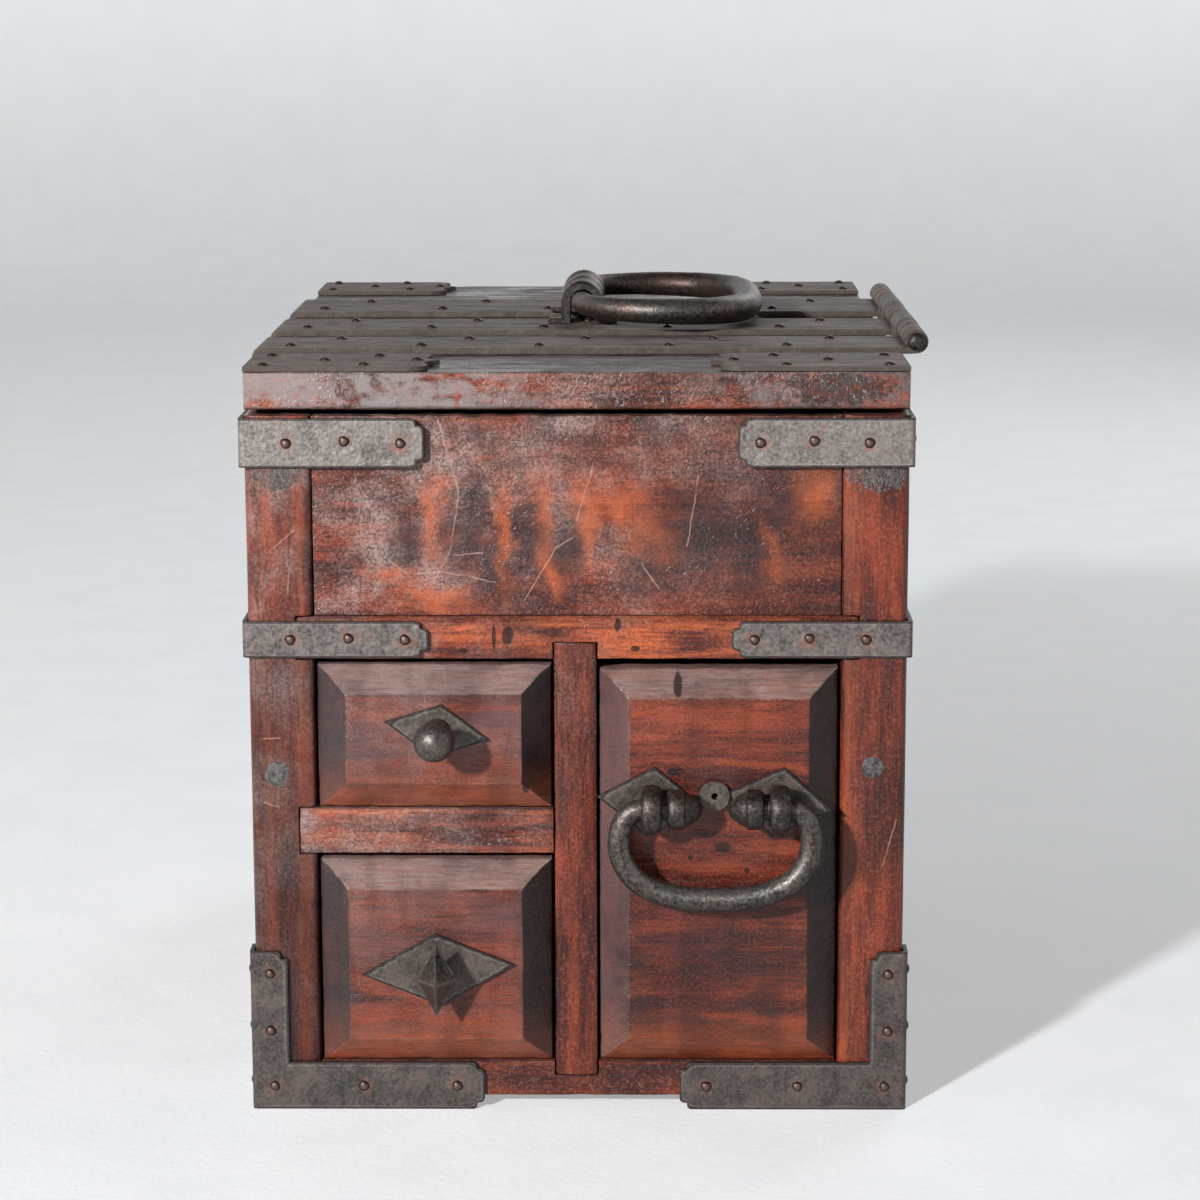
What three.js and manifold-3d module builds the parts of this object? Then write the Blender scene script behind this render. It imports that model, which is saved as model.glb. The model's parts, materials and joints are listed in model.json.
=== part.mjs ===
// A small ship chest: a lacquered wooden case with three drawers under a lidded compartment,
// and forged iron mounts on its corners, lid and drawers. Millimetres, +Z up, front facing -Y.
// X and Y are measured from the middle of the case and Z from the floor; the last lines then move
// the whole chest so that the origin is the middle of the underside of its box.
import * as THREE from 'three';
import { ConvexGeometry } from 'three/addons/geometries/ConvexGeometry.js';
import { mergeVertices } from 'three/addons/utils/BufferGeometryUtils.js';
import Module from 'manifold-3d';

const wasm = await Module();
wasm.setup();

// Case
const caseWidth = 303;
const caseDepth = 394;
const caseTop = 330.5;
const sideThickness = 14;
const backThickness = 12;

// Joints: a glued or nailed seam, the room round a loose shank or pin, and how far a cut runs past a face
const seam = 0.15;
const slack = 0.35;
const overrun = 1;

// Front frame
const frameDepth = 22;
const postWidth = 30.5;
const postOuterRound = 4;
const postInnerRound = 3;
const bottomRailRise = 6;
const bottomRailHeight = 17;
const middleRailBottom = 216;
const middleRailHeight = 20;
const middleRailRound = 4;
const drawerRailBottom = 123.5;
const drawerRailHeight = 22;
const railLap = 8;
const dividerWidth = 20;
const dividerOffset = -1;
const dividerLapUp = 7.7;
const dividerLapDown = 7;
const dividerLapDepth = 9;
const panelThickness = 12;
const panelRecess = 2.5;

// Boards inside
const bottomBoardThickness = 12;
const floorThickness = 10;
const floorDrop = 4;
const shelfThickness = 12;
const partitionThickness = 16;
const guideHeight = 12;

// Drawers
const drawerGap = 1;
const tallDrawerTopGap = 3;
const drawerRunGap = 0.4;
const drawerRimRecess = 2;
const drawerFieldRise = 11;
const drawerBevel = 13.5;
const drawerFrontThickness = 12;
const drawerWall = 9;
const drawerBottomThickness = 6;
const drawerSideDrop = 6;
const drawerBackSpace = 26;

// Corner irons of the case
const ironThickness = 2;
const nailRadius = 2.6;
const nailHeight = 1.6;
const nailRoot = 1.2;
const strapNose = 3.6;
const strapStep = 3.2;
const strapRound = 2;
const upperStrapHeight = 22.5;
const upperStrapDrop = 2.6;
const upperLeftReach = 84.5;
const upperRightReach = 80.5;
const upperSideReach = 58;
const middleStrapHeight = 17;
const middleStrapLift = 1.2;
const middleLeftReach = 85.5;
const middleRightReach = 83;
const middleSideReach = 70;
const footPostWidth = 17.8;
const footPostTop = 77;
const footArmHeight = 23;
const footLeftReach = 109.5;
const footRightReach = 106.5;
const footSideReach = 92;

// Lid
const lidThickness = 17.6;
const lidGap = 0.8;
const lidSideGap = 0.4;
const lidRound = 2.5;
const cornerPlateThickness = 2.2;
const cornerPlateWidth = 52;
const frontLeftPlateLength = 88;
const frontRightPlateLength = 90;
const rearLeftPlateLength = 76;
const rearRightPlateLength = 80;
const cornerPlateNose = 12;
const lidStrapThickness = 3.2;
const frontStrapWidth = 49;
const middleStrapWidth = 52;
const rearStrapWidth = 64;
const lidStrapFold = 14;

// Lid hinge
const hingeOffset = 7.6;
const knuckleRadius = 5.8;
const hingePinRadius = 2.6;
const hingeHeadRadius = 4.4;
const hingeHeadHeight = 2.6;
const knuckleGap = 0.4;
const leafThickness = 2.8;
const leafDrop = 62;
const leafLead = 4;

// Carrying handle on the lid
const saddleLength = 62;
const saddleSetback = 32;
const saddleBore = 6.3;
const saddleWall = 3.2;
const saddleRidge = 1.3;
const saddleRidgeWidth = 7;
const saddleFoot = 8;
const saddleFootThickness = 2.4;
const handleAxisLift = 10.9;
const handlePivotRadius = 5.7;
const handleGripRadius = 7.4;
const handleHalfWidth = 70;
const handleReach = 84;

// Drawer bail, its two eyes and plates
const bailRise = 32;
const bailOffset = -2;
const bailStandoff = 15;
const bailShoulder = 14.6;
const bailDrop = 42.6;
const bailEndRadius = 5;
const bailGripRadius = 5.8;
const acornTip = 6;
const acornGap = 2.5;
const acornRadius = 9.4;
const eyeSideRoom = 5.8;
const eyeWidth = 9.4;
const eyeRadius = 11.5;
const eyeBore = 6.1;
const shankWidth = 6;
const shankHeight = 7;
const clenchReach = 6;
const clenchThickness = 1.6;
const diamondThickness = 2;
const bailPlateTipRoom = 4.2;
const bailPlateHalfHeight = 16.5;

// Knobs and their plates
const knobShankRadius = 2.6;
const ballRadius = 9.5;
const ballStandoff = 20;
const ballNeckRadius = 4.2;
const ballRise = 4.2;
const ballOffset = 1.8;
const ballPlateHalfLength = 24.4;
const ballPlateHalfHeight = 12.5;
const pyramidHalfWidth = 9.5;
const pyramidHalfHeight = 17.5;
const pyramidEquator = 14.5;
const pyramidApex = 24.5;
const pyramidNeck = 4.5;
const pyramidNeckLength = 3;
const pyramidRise = -2.2;
const pyramidOffset = 1.2;
const pyramidPlateHalfLength = 35.6;
const pyramidPlateHalfHeight = 17.3;

// Lock of the tall drawer
const lockRoom = 0.2;
const lockHeight = 46;
const lockThickness = 9;
const lockRound = 3;
const keyDiscRadius = 7.3;
const keyDiscThickness = 1.3;
const keyholeRadius = 1.7;
const keyDiscRise = 3;

// How far each hand-set diamond plate is turned, in degrees
const ballPlateTurn = -10;
const pyramidPlateTurn = 4;
const leftPlateTurn = -6;
const rightPlateTurn = -9;

// Steps round an arc or a turned piece
const arcSteps = 3;
const nailSides = 7;
const turnedSides = 16;
const rodSides = 10;

// Faces that the sizes above settle
const halfWidth = caseWidth / 2;
const halfDepth = caseDepth / 2;
const frontFace = -halfDepth;
const frameBack = frontFace + frameDepth;
const backInner = halfDepth - backThickness;
const sideInner = halfWidth - sideThickness;
const openingHalf = halfWidth - postWidth;
const bottomRailTop = bottomRailRise + bottomRailHeight;
const middleRailTop = middleRailBottom + middleRailHeight;
const drawerRailTop = drawerRailBottom + drawerRailHeight;
const dividerLeft = dividerOffset - dividerWidth / 2;
const dividerRight = dividerOffset + dividerWidth / 2;
const lidBottom = caseTop + lidGap;
const lidTop = lidBottom + lidThickness;
const lidHalfWidth = halfWidth - lidSideGap;
const strapTop = lidTop + seam + lidStrapThickness;
const hingeX = halfWidth + hingeOffset;
const hingeZ = lidTop + seam + knuckleRadius;
const fieldFace = frontFace + drawerRimRecess - drawerFieldRise;
const drawerInnerFace = frontFace + drawerRimRecess + drawerFrontThickness;
const plateFace = fieldFace - seam - diamondThickness;

// The eyes stand inside the tall drawer's sides; the bail, acorns, plates and lock follow them
const tallInnerHalf = (openingHalf - dividerRight) / 2 - drawerGap - drawerWall;
const clenchHalf = shankWidth / 2 + clenchReach;
const eyeCentre = tallInnerHalf - Math.abs(bailOffset) - eyeSideRoom - clenchHalf;
const bailHalfWidth = eyeCentre + bailShoulder;
const acornBack = eyeCentre - eyeWidth / 2 - acornGap;
const bailPlateHalfLength = eyeCentre - bailPlateTipRoom;
const lockWidth = 2 * (eyeCentre - clenchHalf - lockRoom);

const lacquer = { color: 0x8c3f2b, roughness: 0.42, metalness: 0 };
const darkLacquer = { color: 0x5a2c24, roughness: 0.5, metalness: 0 };
const bareWood = { color: 0xa5805a, roughness: 0.75, metalness: 0 };
const iron = { color: 0x5d5550, roughness: 0.6, metalness: 0.75 };
const polishedIron = { color: 0x4a4441, roughness: 0.4, metalness: 0.85 };

const chest = new THREE.Group();

// Directions that an outline drawn in local x and y, with its thickness along local z, can face
const alongX = new THREE.Vector3(1, 0, 0);
const alongY = new THREE.Vector3(0, 1, 0);
const alongZ = new THREE.Vector3(0, 0, 1);
const facing = {
  up: new THREE.Matrix4(),
  front: new THREE.Matrix4().makeBasis(alongX, alongZ, alongY.clone().negate()),
  left: new THREE.Matrix4().makeBasis(alongY.clone().negate(), alongZ, alongX.clone().negate()),
  right: new THREE.Matrix4().makeBasis(alongY, alongZ, alongX),
};

// A closed mesh as a solid that can be joined and cut
function solid(geometry) {
  const bare = geometry.clone();
  bare.deleteAttribute('normal');
  bare.deleteAttribute('uv');
  const merged = mergeVertices(bare);
  const index = merged.index.array;
  const kept = [];
  for (let i = 0; i < index.length; i += 3) {
    const [a, b, c] = [index[i], index[i + 1], index[i + 2]];
    if (a !== b && b !== c && c !== a) kept.push(a, b, c);
  }
  const mesh = new wasm.Mesh({
    numProp: 3,
    vertProperties: merged.attributes.position.array,
    triVerts: new Uint32Array(kept),
  });
  return new wasm.Manifold(mesh);
}

// The solid as a named mesh of the chest
function add(name, body, finish) {
  const { vertProperties, triVerts } = body.getMesh();
  const geometry = new THREE.BufferGeometry();
  geometry.setAttribute('position', new THREE.BufferAttribute(vertProperties, 3));
  geometry.setIndex(new THREE.BufferAttribute(triVerts, 1));
  const mesh = new THREE.Mesh(geometry, new THREE.MeshStandardMaterial(finish));
  mesh.name = name;
  chest.add(mesh);
  return mesh;
}

function block(x0, x1, y0, y1, z0, z1) {
  const geometry = new THREE.BoxGeometry(x1 - x0, y1 - y0, z1 - z0);
  geometry.translate((x0 + x1) / 2, (y0 + y1) / 2, (z0 + z1) / 2);
  return solid(geometry);
}

// An outline given a thickness, turned to face a direction and moved to its place
function slab(shape, thickness, direction, x, y, z) {
  const settings = { depth: thickness, bevelEnabled: false, curveSegments: arcSteps };
  const geometry = new THREE.ExtrudeGeometry(shape, settings);
  geometry.applyMatrix4(direction);
  geometry.translate(x, y, z);
  return solid(geometry);
}

// A turned piece: its profile lists [radius, height], and its height points along the direction
function turned(profile, sides, direction, x, y, z) {
  const points = profile.map(([radius, height]) => new THREE.Vector2(radius, height));
  const geometry = new THREE.LatheGeometry(points, sides);
  geometry.rotateX(Math.PI / 2);
  geometry.applyMatrix4(direction);
  geometry.translate(x, y, z);
  return solid(geometry);
}

function cylinder(radius, length, sides, direction, x, y, z) {
  return turned([[0, 0], [radius, 0], [radius, length], [0, length]], sides, direction, x, y, z);
}

function nail(direction, x, y, z) {
  const profile = [
    [0, -nailRoot],
    [nailRadius, -nailRoot],
    [nailRadius, 0],
    [nailRadius * 0.72, nailHeight * 0.7],
    [0, nailHeight],
  ];
  return turned(profile, nailSides, direction, x, y, z);
}

// A rectangle whose corners are rounded by the radii at (x0,y0), (x1,y0), (x1,y1) and (x0,y1)
function roundedOutline(x0, y0, x1, y1, radii) {
  const [first, second, third, fourth] = radii;
  const shape = new THREE.Shape();
  shape.moveTo(x0 + first, y0);
  shape.lineTo(x1 - second, y0);
  if (second > 0) shape.absarc(x1 - second, y0 + second, second, -Math.PI / 2, 0);
  shape.lineTo(x1, y1 - third);
  if (third > 0) shape.absarc(x1 - third, y1 - third, third, 0, Math.PI / 2);
  shape.lineTo(x0 + fourth, y1);
  if (fourth > 0) shape.absarc(x0 + fourth, y1 - fourth, fourth, Math.PI / 2, Math.PI);
  shape.lineTo(x0, y0 + first);
  if (first > 0) shape.absarc(x0 + first, y0 + first, first, Math.PI, 1.5 * Math.PI);
  return shape;
}

// A forged rod: a round section of changing radius swept along points that lie in one plane
function rod(points, radii, normal, closed) {
  const positions = [];
  const count = points.length;
  for (let i = 0; i < count; i += 1) {
    const before = closed ? points[(i + count - 1) % count] : points[Math.max(i - 1, 0)];
    const after = closed ? points[(i + 1) % count] : points[Math.min(i + 1, count - 1)];
    const tangent = new THREE.Vector3().subVectors(after, before).normalize();
    const sideways = new THREE.Vector3().crossVectors(normal, tangent);
    for (let j = 0; j < rodSides; j += 1) {
      const turn = (j * 2 * Math.PI) / rodSides;
      const spot = points[i].clone();
      spot.addScaledVector(sideways, radii[i] * Math.cos(turn));
      spot.addScaledVector(normal, radii[i] * Math.sin(turn));
      positions.push(spot.x, spot.y, spot.z);
    }
  }
  const index = [];
  const rings = closed ? count : count - 1;
  for (let i = 0; i < rings; i += 1) {
    const ring = i * rodSides;
    const next = ((i + 1) % count) * rodSides;
    for (let j = 0; j < rodSides; j += 1) {
      const k = (j + 1) % rodSides;
      index.push(ring + j, ring + k, next + j);
      index.push(ring + k, next + k, next + j);
    }
  }
  const last = (count - 1) * rodSides;
  for (let j = 1; !closed && j < rodSides - 1; j += 1) {
    index.push(0, j + 1, j);
    index.push(last, last + j, last + j + 1);
  }
  const geometry = new THREE.BufferGeometry();
  geometry.setAttribute('position', new THREE.Float32BufferAttribute(positions, 3));
  geometry.setIndex(index);
  return solid(geometry);
}

// The corner posts, notched where the rails lap over them
function frontPost(name, side) {
  const outer = side * halfWidth;
  const inner = side * openingHalf;
  const radii = side < 0 ? [postOuterRound, postInnerRound, 0, 0] : [postInnerRound, postOuterRound, 0, 0];
  const section = roundedOutline(Math.min(outer, inner), frontFace, Math.max(outer, inner), frameBack, radii);
  let post = slab(section, caseTop, facing.up, 0, 0, 0);
  const notch = (bottom, top) => {
    const deep = inner + side * (railLap + seam);
    const open = inner - side * overrun;
    const ends = [Math.min(deep, open), Math.max(deep, open)];
    return block(...ends, frontFace - overrun, frameBack + overrun, bottom - seam, top + seam);
  };
  post = post.subtract(notch(middleRailBottom, middleRailTop));
  if (side < 0) post = post.subtract(notch(drawerRailBottom, drawerRailTop));
  add(name, post, lacquer);
}

// The rail above the drawers laps over both posts and takes the top of the divider in a notch
function middleRail() {
  const radii = [0, 0, 0, middleRailRound];
  const section = roundedOutline(frontFace, middleRailBottom, frameBack, middleRailTop, radii);
  const reach = openingHalf + railLap;
  const bar = slab(section, 2 * reach, facing.right, -reach, 0, 0);
  const notchTop = middleRailBottom + dividerLapUp + seam;
  const notchBack = frontFace + dividerLapDepth + seam;
  const sides = [dividerLeft - seam, dividerRight + seam];
  const notch = block(...sides, frontFace - overrun, notchBack, middleRailBottom - overrun, notchTop);
  add('middle_rail', bar.subtract(notch), lacquer);
}

// The lowest rail is held between the posts, clear of the floor
function bottomRail() {
  const reach = openingHalf - seam;
  const bar = block(-reach, reach, frontFace, frameBack, bottomRailRise, bottomRailTop);
  const notchBottom = bottomRailTop - dividerLapDown - seam;
  const notchBack = frontFace + dividerLapDepth + seam;
  const sides = [dividerLeft - seam, dividerRight + seam];
  const notch = block(...sides, frontFace - overrun, notchBack, notchBottom, bottomRailTop + overrun);
  add('bottom_rail', bar.subtract(notch), darkLacquer);
}

// The divider is the front edge of the partition, lapped over the rails above and below it
function drawerDivider() {
  const bottom = bottomRailTop + seam;
  const top = middleRailBottom - seam;
  const lapBack = frontFace + dividerLapDepth;
  const lapBottom = bottomRailTop - dividerLapDown;
  const lapTop = middleRailBottom + dividerLapUp;
  const half = partitionThickness / 2;
  const boardTop = middleRailTop - floorDrop - floorThickness - seam;
  const stile = block(dividerLeft, dividerRight, frontFace, frameBack, bottom, top);
  const tongue = block(dividerLeft, dividerRight, frontFace, lapBack, lapBottom, lapTop);
  const sides = [dividerOffset - half, dividerOffset + half];
  const board = block(...sides, frameBack - overrun, backInner - seam, bottom, Math.min(top, boardTop));
  add('drawer_divider', stile.add(tongue).add(board), lacquer);
}

// The rail between the two left drawers is the front edge of the shelf, which has a guide strip
function drawerShelf() {
  const right = dividerLeft - seam;
  const boardRight = dividerOffset - partitionThickness / 2 - seam;
  const boardBottom = drawerRailTop - shelfThickness;
  const boardFront = frameBack + seam;
  const left = seam - sideInner;
  const boardBack = backInner - seam;
  const lapped = -openingHalf - railLap;
  const rail = block(lapped, right, frontFace, boardFront + overrun, drawerRailBottom, drawerRailTop);
  const board = block(left, boardRight, boardFront, boardBack, boardBottom, drawerRailTop);
  const guideTop = drawerRailTop + guideHeight;
  const guide = block(left, -openingHalf, boardFront, boardBack, boardBottom + seam, guideTop);
  add('drawer_shelf', rail.add(board).add(guide), lacquer);
}

// The bottom board carries the two lower drawers and has a guide strip along each side
function bottomBoard() {
  const left = seam - sideInner;
  const right = sideInner - seam;
  const front = frameBack + seam;
  const back = backInner - seam;
  const bottom = bottomRailTop - bottomBoardThickness;
  const guideTop = bottomRailTop + guideHeight;
  let board = block(left, right, front, back, bottom, bottomRailTop);
  board = board.add(block(left, -openingHalf, front, back, bottom + seam, guideTop));
  board = board.add(block(openingHalf, right, front, back, bottom + seam, guideTop));
  add('bottom_board', board, bareWood);
}

function compartmentFloor() {
  const top = middleRailTop - floorDrop;
  const reach = sideInner - seam;
  const board = block(-reach, reach, frameBack + seam, backInner - seam, top - floorThickness, top);
  add('compartment_floor', board, bareWood);
}

function frontPanel() {
  const reach = openingHalf - seam;
  const face = frontFace + panelRecess;
  const board = block(-reach, reach, face, face + panelThickness, middleRailTop + seam, caseTop);
  add('front_panel', board, lacquer);
}

// The sides and the back stand on the floor with the posts
function sideBoards() {
  const ends = [frameBack + seam, backInner - seam, 0, caseTop];
  add('left_side_board', block(-halfWidth, -sideInner, ...ends), lacquer);
  add('right_side_board', block(sideInner, halfWidth, ...ends), lacquer);
}

function backBoard() {
  add('back_board', block(-halfWidth, halfWidth, backInner, halfDepth, 0, caseTop), lacquer);
}

// A drawer: a front with a raised field, two sides, a back, and a bottom nailed on from below
function drawer(name, opening, topGap, fittings) {
  const { left, right, bottom, top } = opening;
  const x0 = left + drawerGap;
  const x1 = right - drawerGap;
  const z0 = bottom + drawerRunGap;
  const z1 = top - topGap;
  const rim = frontFace + drawerRimRecess;
  const corners = (inset, y) => [
    new THREE.Vector3(x0 + inset, y, z0 + inset),
    new THREE.Vector3(x1 - inset, y, z0 + inset),
    new THREE.Vector3(x1 - inset, y, z1 - inset),
    new THREE.Vector3(x0 + inset, y, z1 - inset),
  ];
  const points = [...corners(0, drawerInnerFace), ...corners(0, rim), ...corners(drawerBevel, fieldFace)];
  let front = solid(new ConvexGeometry(points));
  for (const hole of fittings) front = front.subtract(hole);
  const sideFront = drawerInnerFace + seam;
  const sideBack = backInner - drawerBackSpace;
  const sideBottom = z0 + drawerBottomThickness + seam;
  const sideTop = z1 - drawerSideDrop;
  const wall = drawerWall;
  add(`${name}_front`, front, lacquer);
  add(`${name}_left_side`, block(x0, x0 + wall, sideFront, sideBack, sideBottom, sideTop), bareWood);
  add(`${name}_right_side`, block(x1 - wall, x1, sideFront, sideBack, sideBottom, sideTop), bareWood);
  const backSides = [x0 + wall + seam, x1 - wall - seam];
  const backTop = sideTop - drawerSideDrop;
  add(`${name}_back`, block(...backSides, sideBack - wall, sideBack, sideBottom, backTop), bareWood);
  add(`${name}_bottom`, block(x0, x1, sideFront, sideBack, z0, z0 + drawerBottomThickness), bareWood);
  return { x: (x0 + x1) / 2, z: (z0 + z1) / 2 };
}

// A strap outline from the corner (0,0) along local x, its end stepped in to a rounded nose
function strapOutline(length, height) {
  const neck = length - strapNose;
  const nose = new THREE.Vector2(length - strapRound, height - strapStep - strapRound);
  const shape = new THREE.Shape();
  shape.moveTo(0, 0);
  shape.lineTo(neck, 0);
  shape.lineTo(neck, strapStep);
  shape.lineTo(nose.x, strapStep);
  shape.absarc(nose.x, strapStep + strapRound, strapRound, -Math.PI / 2, 0);
  shape.lineTo(length, nose.y);
  shape.absarc(nose.x, nose.y, strapRound, 0, Math.PI / 2);
  shape.lineTo(neck, height - strapStep);
  shape.lineTo(neck, height);
  shape.lineTo(0, height);
  return shape;
}

// One leg on the front and one on the side of the left front corner, joined along their edge
function cornerLegs(frontOutline, sideOutline, bottom) {
  const x = -halfWidth - seam;
  const y = frontFace - seam;
  const front = slab(frontOutline, ironThickness, facing.front, x - ironThickness, y, bottom);
  const side = slab(sideOutline, ironThickness, facing.right, x - ironThickness, y - ironThickness, bottom);
  return front.add(side);
}

// Nails in a leg: each place is how far along the leg, and how far up, from the outer corner
function frontNails(body, places) {
  const face = frontFace - seam - ironThickness;
  const corner = -halfWidth - seam - ironThickness;
  return places.reduce((made, [along, up]) => made.add(nail(facing.front, corner + along, face, up)), body);
}

function sideNails(body, places) {
  const face = -halfWidth - seam - ironThickness;
  const corner = frontFace - seam - ironThickness;
  return places.reduce((made, [along, up]) => made.add(nail(facing.left, face, corner + along, up)), body);
}

// A strap that wraps a corner; every one is made for the left front corner and then mirrored
function cornerStrap(name, reach, sideReach, height, bottom, nailShares, mirrorX, mirrorY) {
  const middle = bottom + height / 2;
  let strap = cornerLegs(strapOutline(reach, height), strapOutline(sideReach, height), bottom);
  strap = frontNails(strap, nailShares.map((share) => [share * reach, middle]));
  strap = sideNails(strap, nailShares.map((share) => [share * sideReach, middle]));
  const mesh = add(name, strap, iron);
  mesh.scale.set(mirrorX, mirrorY, 1);
}

const upperNailShares = [0.25, 0.56, 0.88];
const middleNailShares = [0.24, 0.58, 0.88];

function cornerStraps() {
  const upperBottom = caseTop - upperStrapDrop - upperStrapHeight;
  const upper = [upperSideReach, upperStrapHeight, upperBottom, upperNailShares];
  cornerStrap('upper_left_strap', upperLeftReach, ...upper, 1, 1);
  cornerStrap('upper_right_strap', upperRightReach, ...upper, -1, 1);
  cornerStrap('rear_left_strap', upperLeftReach, ...upper, 1, -1);
  cornerStrap('rear_right_strap', upperRightReach, ...upper, -1, -1);
  const lowerBottom = middleRailBottom + middleStrapLift;
  const lower = [middleSideReach, middleStrapHeight, lowerBottom, middleNailShares];
  cornerStrap('middle_left_strap', middleLeftReach, ...lower, 1, 1);
  cornerStrap('middle_right_strap', middleRightReach, ...lower, -1, 1);
}

// The L of a foot bracket: an arm along the floor and one up the post, both with stepped ends
function footOutline(reach) {
  const neck = reach - strapNose;
  const nose = new THREE.Vector2(reach - strapRound, footArmHeight - strapStep - strapRound);
  const topNeck = footPostTop - strapNose;
  const topNose = new THREE.Vector2(footPostWidth - strapStep - strapRound, footPostTop - strapRound);
  const shape = new THREE.Shape();
  shape.moveTo(0, 0);
  shape.lineTo(neck, 0);
  shape.lineTo(neck, strapStep);
  shape.lineTo(nose.x, strapStep);
  shape.absarc(nose.x, strapStep + strapRound, strapRound, -Math.PI / 2, 0);
  shape.lineTo(reach, nose.y);
  shape.absarc(nose.x, nose.y, strapRound, 0, Math.PI / 2);
  shape.lineTo(neck, footArmHeight - strapStep);
  shape.lineTo(neck, footArmHeight);
  shape.lineTo(footPostWidth, footArmHeight);
  shape.lineTo(footPostWidth, topNeck);
  shape.lineTo(footPostWidth - strapStep, topNeck);
  shape.lineTo(footPostWidth - strapStep, topNose.y);
  shape.absarc(topNose.x, topNose.y, strapRound, 0, Math.PI / 2);
  shape.lineTo(0, footPostTop);
  return shape;
}

const footArmShares = [0.1, 0.48, 0.88];
const footPostShares = [0.5, 0.86];

// The foot brackets wrap the corners down to the floor
function footBracket(name, reach, mirrorX, mirrorY) {
  let bracket = cornerLegs(footOutline(reach), footOutline(footSideReach), 0);
  const up = footArmHeight / 2;
  const along = footPostWidth / 2;
  const postNails = footPostShares.map((share) => [along, share * footPostTop]);
  const armNails = (length) => footArmShares.map((share) => [share * length, up]);
  bracket = frontNails(bracket, [...armNails(reach), ...postNails]);
  bracket = sideNails(bracket, [...armNails(footSideReach), ...postNails]);
  const mesh = add(name, bracket, iron);
  mesh.scale.set(mirrorX, mirrorY, 1);
}

function footBrackets() {
  footBracket('front_left_foot_bracket', footLeftReach, 1, 1);
  footBracket('front_right_foot_bracket', footRightReach, -1, 1);
  footBracket('rear_left_foot_bracket', footLeftReach, 1, -1);
  footBracket('rear_right_foot_bracket', footRightReach, -1, -1);
}

function lidBoard() {
  const section = roundedOutline(frontFace, lidBottom, halfDepth, lidTop, [lidRound, lidRound, 0, 0]);
  add('lid_board', slab(section, 2 * lidHalfWidth, facing.right, -lidHalfWidth, 0, 0), lacquer);
}

const plateNailShares = [
  [0.1, 0.14], [0.1, 0.82], [0.42, 0.5],
  [0.62, 0.16], [0.66, 0.8], [0.9, 0.5],
];

// A flat plate on a corner of the lid, its inner end scalloped to a point
function lidCornerPlate(name, length, mirrorX, mirrorY) {
  const width = cornerPlateWidth;
  const neck = length - cornerPlateNose;
  const waist = neck + cornerPlateNose * 0.45;
  const bend = neck + cornerPlateNose * 0.6;
  const shape = new THREE.Shape();
  shape.moveTo(0, 0);
  shape.lineTo(neck, 0);
  shape.quadraticCurveTo(length, width * 0.06, waist, width * 0.3);
  shape.quadraticCurveTo(bend, width * 0.42, length, width * 0.5);
  shape.quadraticCurveTo(bend, width * 0.58, waist, width * 0.7);
  shape.quadraticCurveTo(length, width * 0.94, neck, width);
  shape.lineTo(0, width);
  const x = -lidHalfWidth;
  const y = frontFace;
  const top = lidTop + seam + cornerPlateThickness;
  let plate = slab(shape, cornerPlateThickness, facing.up, x, y, lidTop + seam);
  for (const [along, across] of plateNailShares) {
    plate = plate.add(nail(facing.up, x + along * length, y + across * width, top));
  }
  const mesh = add(name, plate, iron);
  mesh.scale.set(mirrorX, mirrorY, 1);
}

function lidCornerPlates() {
  lidCornerPlate('lid_front_left_plate', frontLeftPlateLength, 1, 1);
  lidCornerPlate('lid_front_right_plate', frontRightPlateLength, -1, 1);
  lidCornerPlate('lid_rear_left_plate', rearLeftPlateLength, 1, -1);
  lidCornerPlate('lid_rear_right_plate', rearRightPlateLength, -1, -1);
}

// The three lid straps, with the share of the lid's bare length that is left in front of each
const strapWidths = frontStrapWidth + middleStrapWidth + rearStrapWidth;
const lidBareLength = caseDepth - 2 * cornerPlateWidth - strapWidths;
const lidStraps = [];
for (const { name, width, bareShare } of [
  { name: 'lid_front_strap', width: frontStrapWidth, bareShare: 0.097 },
  { name: 'lid_middle_strap', width: middleStrapWidth, bareShare: 0.223 },
  { name: 'lid_rear_strap', width: rearStrapWidth, bareShare: 0.264 },
]) {
  const before = lidStraps.length > 0 ? lidStraps.at(-1).back : frontFace + cornerPlateWidth;
  const front = before + bareShare * lidBareLength;
  lidStraps.push({ name, width, front, middle: front + width / 2, back: front + width });
}

const strapNailShares = [0.08, 0.28, 0.46, 0.66, 0.84];
const strapNailStagger = 0.035;
const strapNailSpread = 0.28;

// A band across the lid: folded down over its left edge, and curled into a knuckle on the right
function lidStrap({ name, middle, front, back, width }) {
  const left = -lidHalfWidth - seam - lidStrapThickness;
  const bottom = lidTop + seam;
  let strap = block(left, hingeX, front, back, bottom, strapTop);
  strap = strap.add(block(left, left + lidStrapThickness, front, back, lidTop - lidStrapFold, strapTop));
  const along = facing.front;
  strap = strap.add(cylinder(knuckleRadius, width, turnedSides, along, hingeX, back, hingeZ));
  const bore = hingePinRadius + slack;
  const past = width + 2 * overrun;
  strap = strap.subtract(cylinder(bore, past, turnedSides, along, hingeX, back + overrun, hingeZ));
  const length = 2 * lidHalfWidth;
  for (const share of strapNailShares) {
    for (const side of [-1, 1]) {
      const x = -lidHalfWidth + (share + side * strapNailStagger) * length;
      strap = strap.add(nail(facing.up, x, middle + side * strapNailSpread * width, strapTop));
    }
  }
  add(name, strap, iron);
}

const leafNailShares = [0.06, 0.27, 0.5, 0.73, 0.94];

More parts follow.
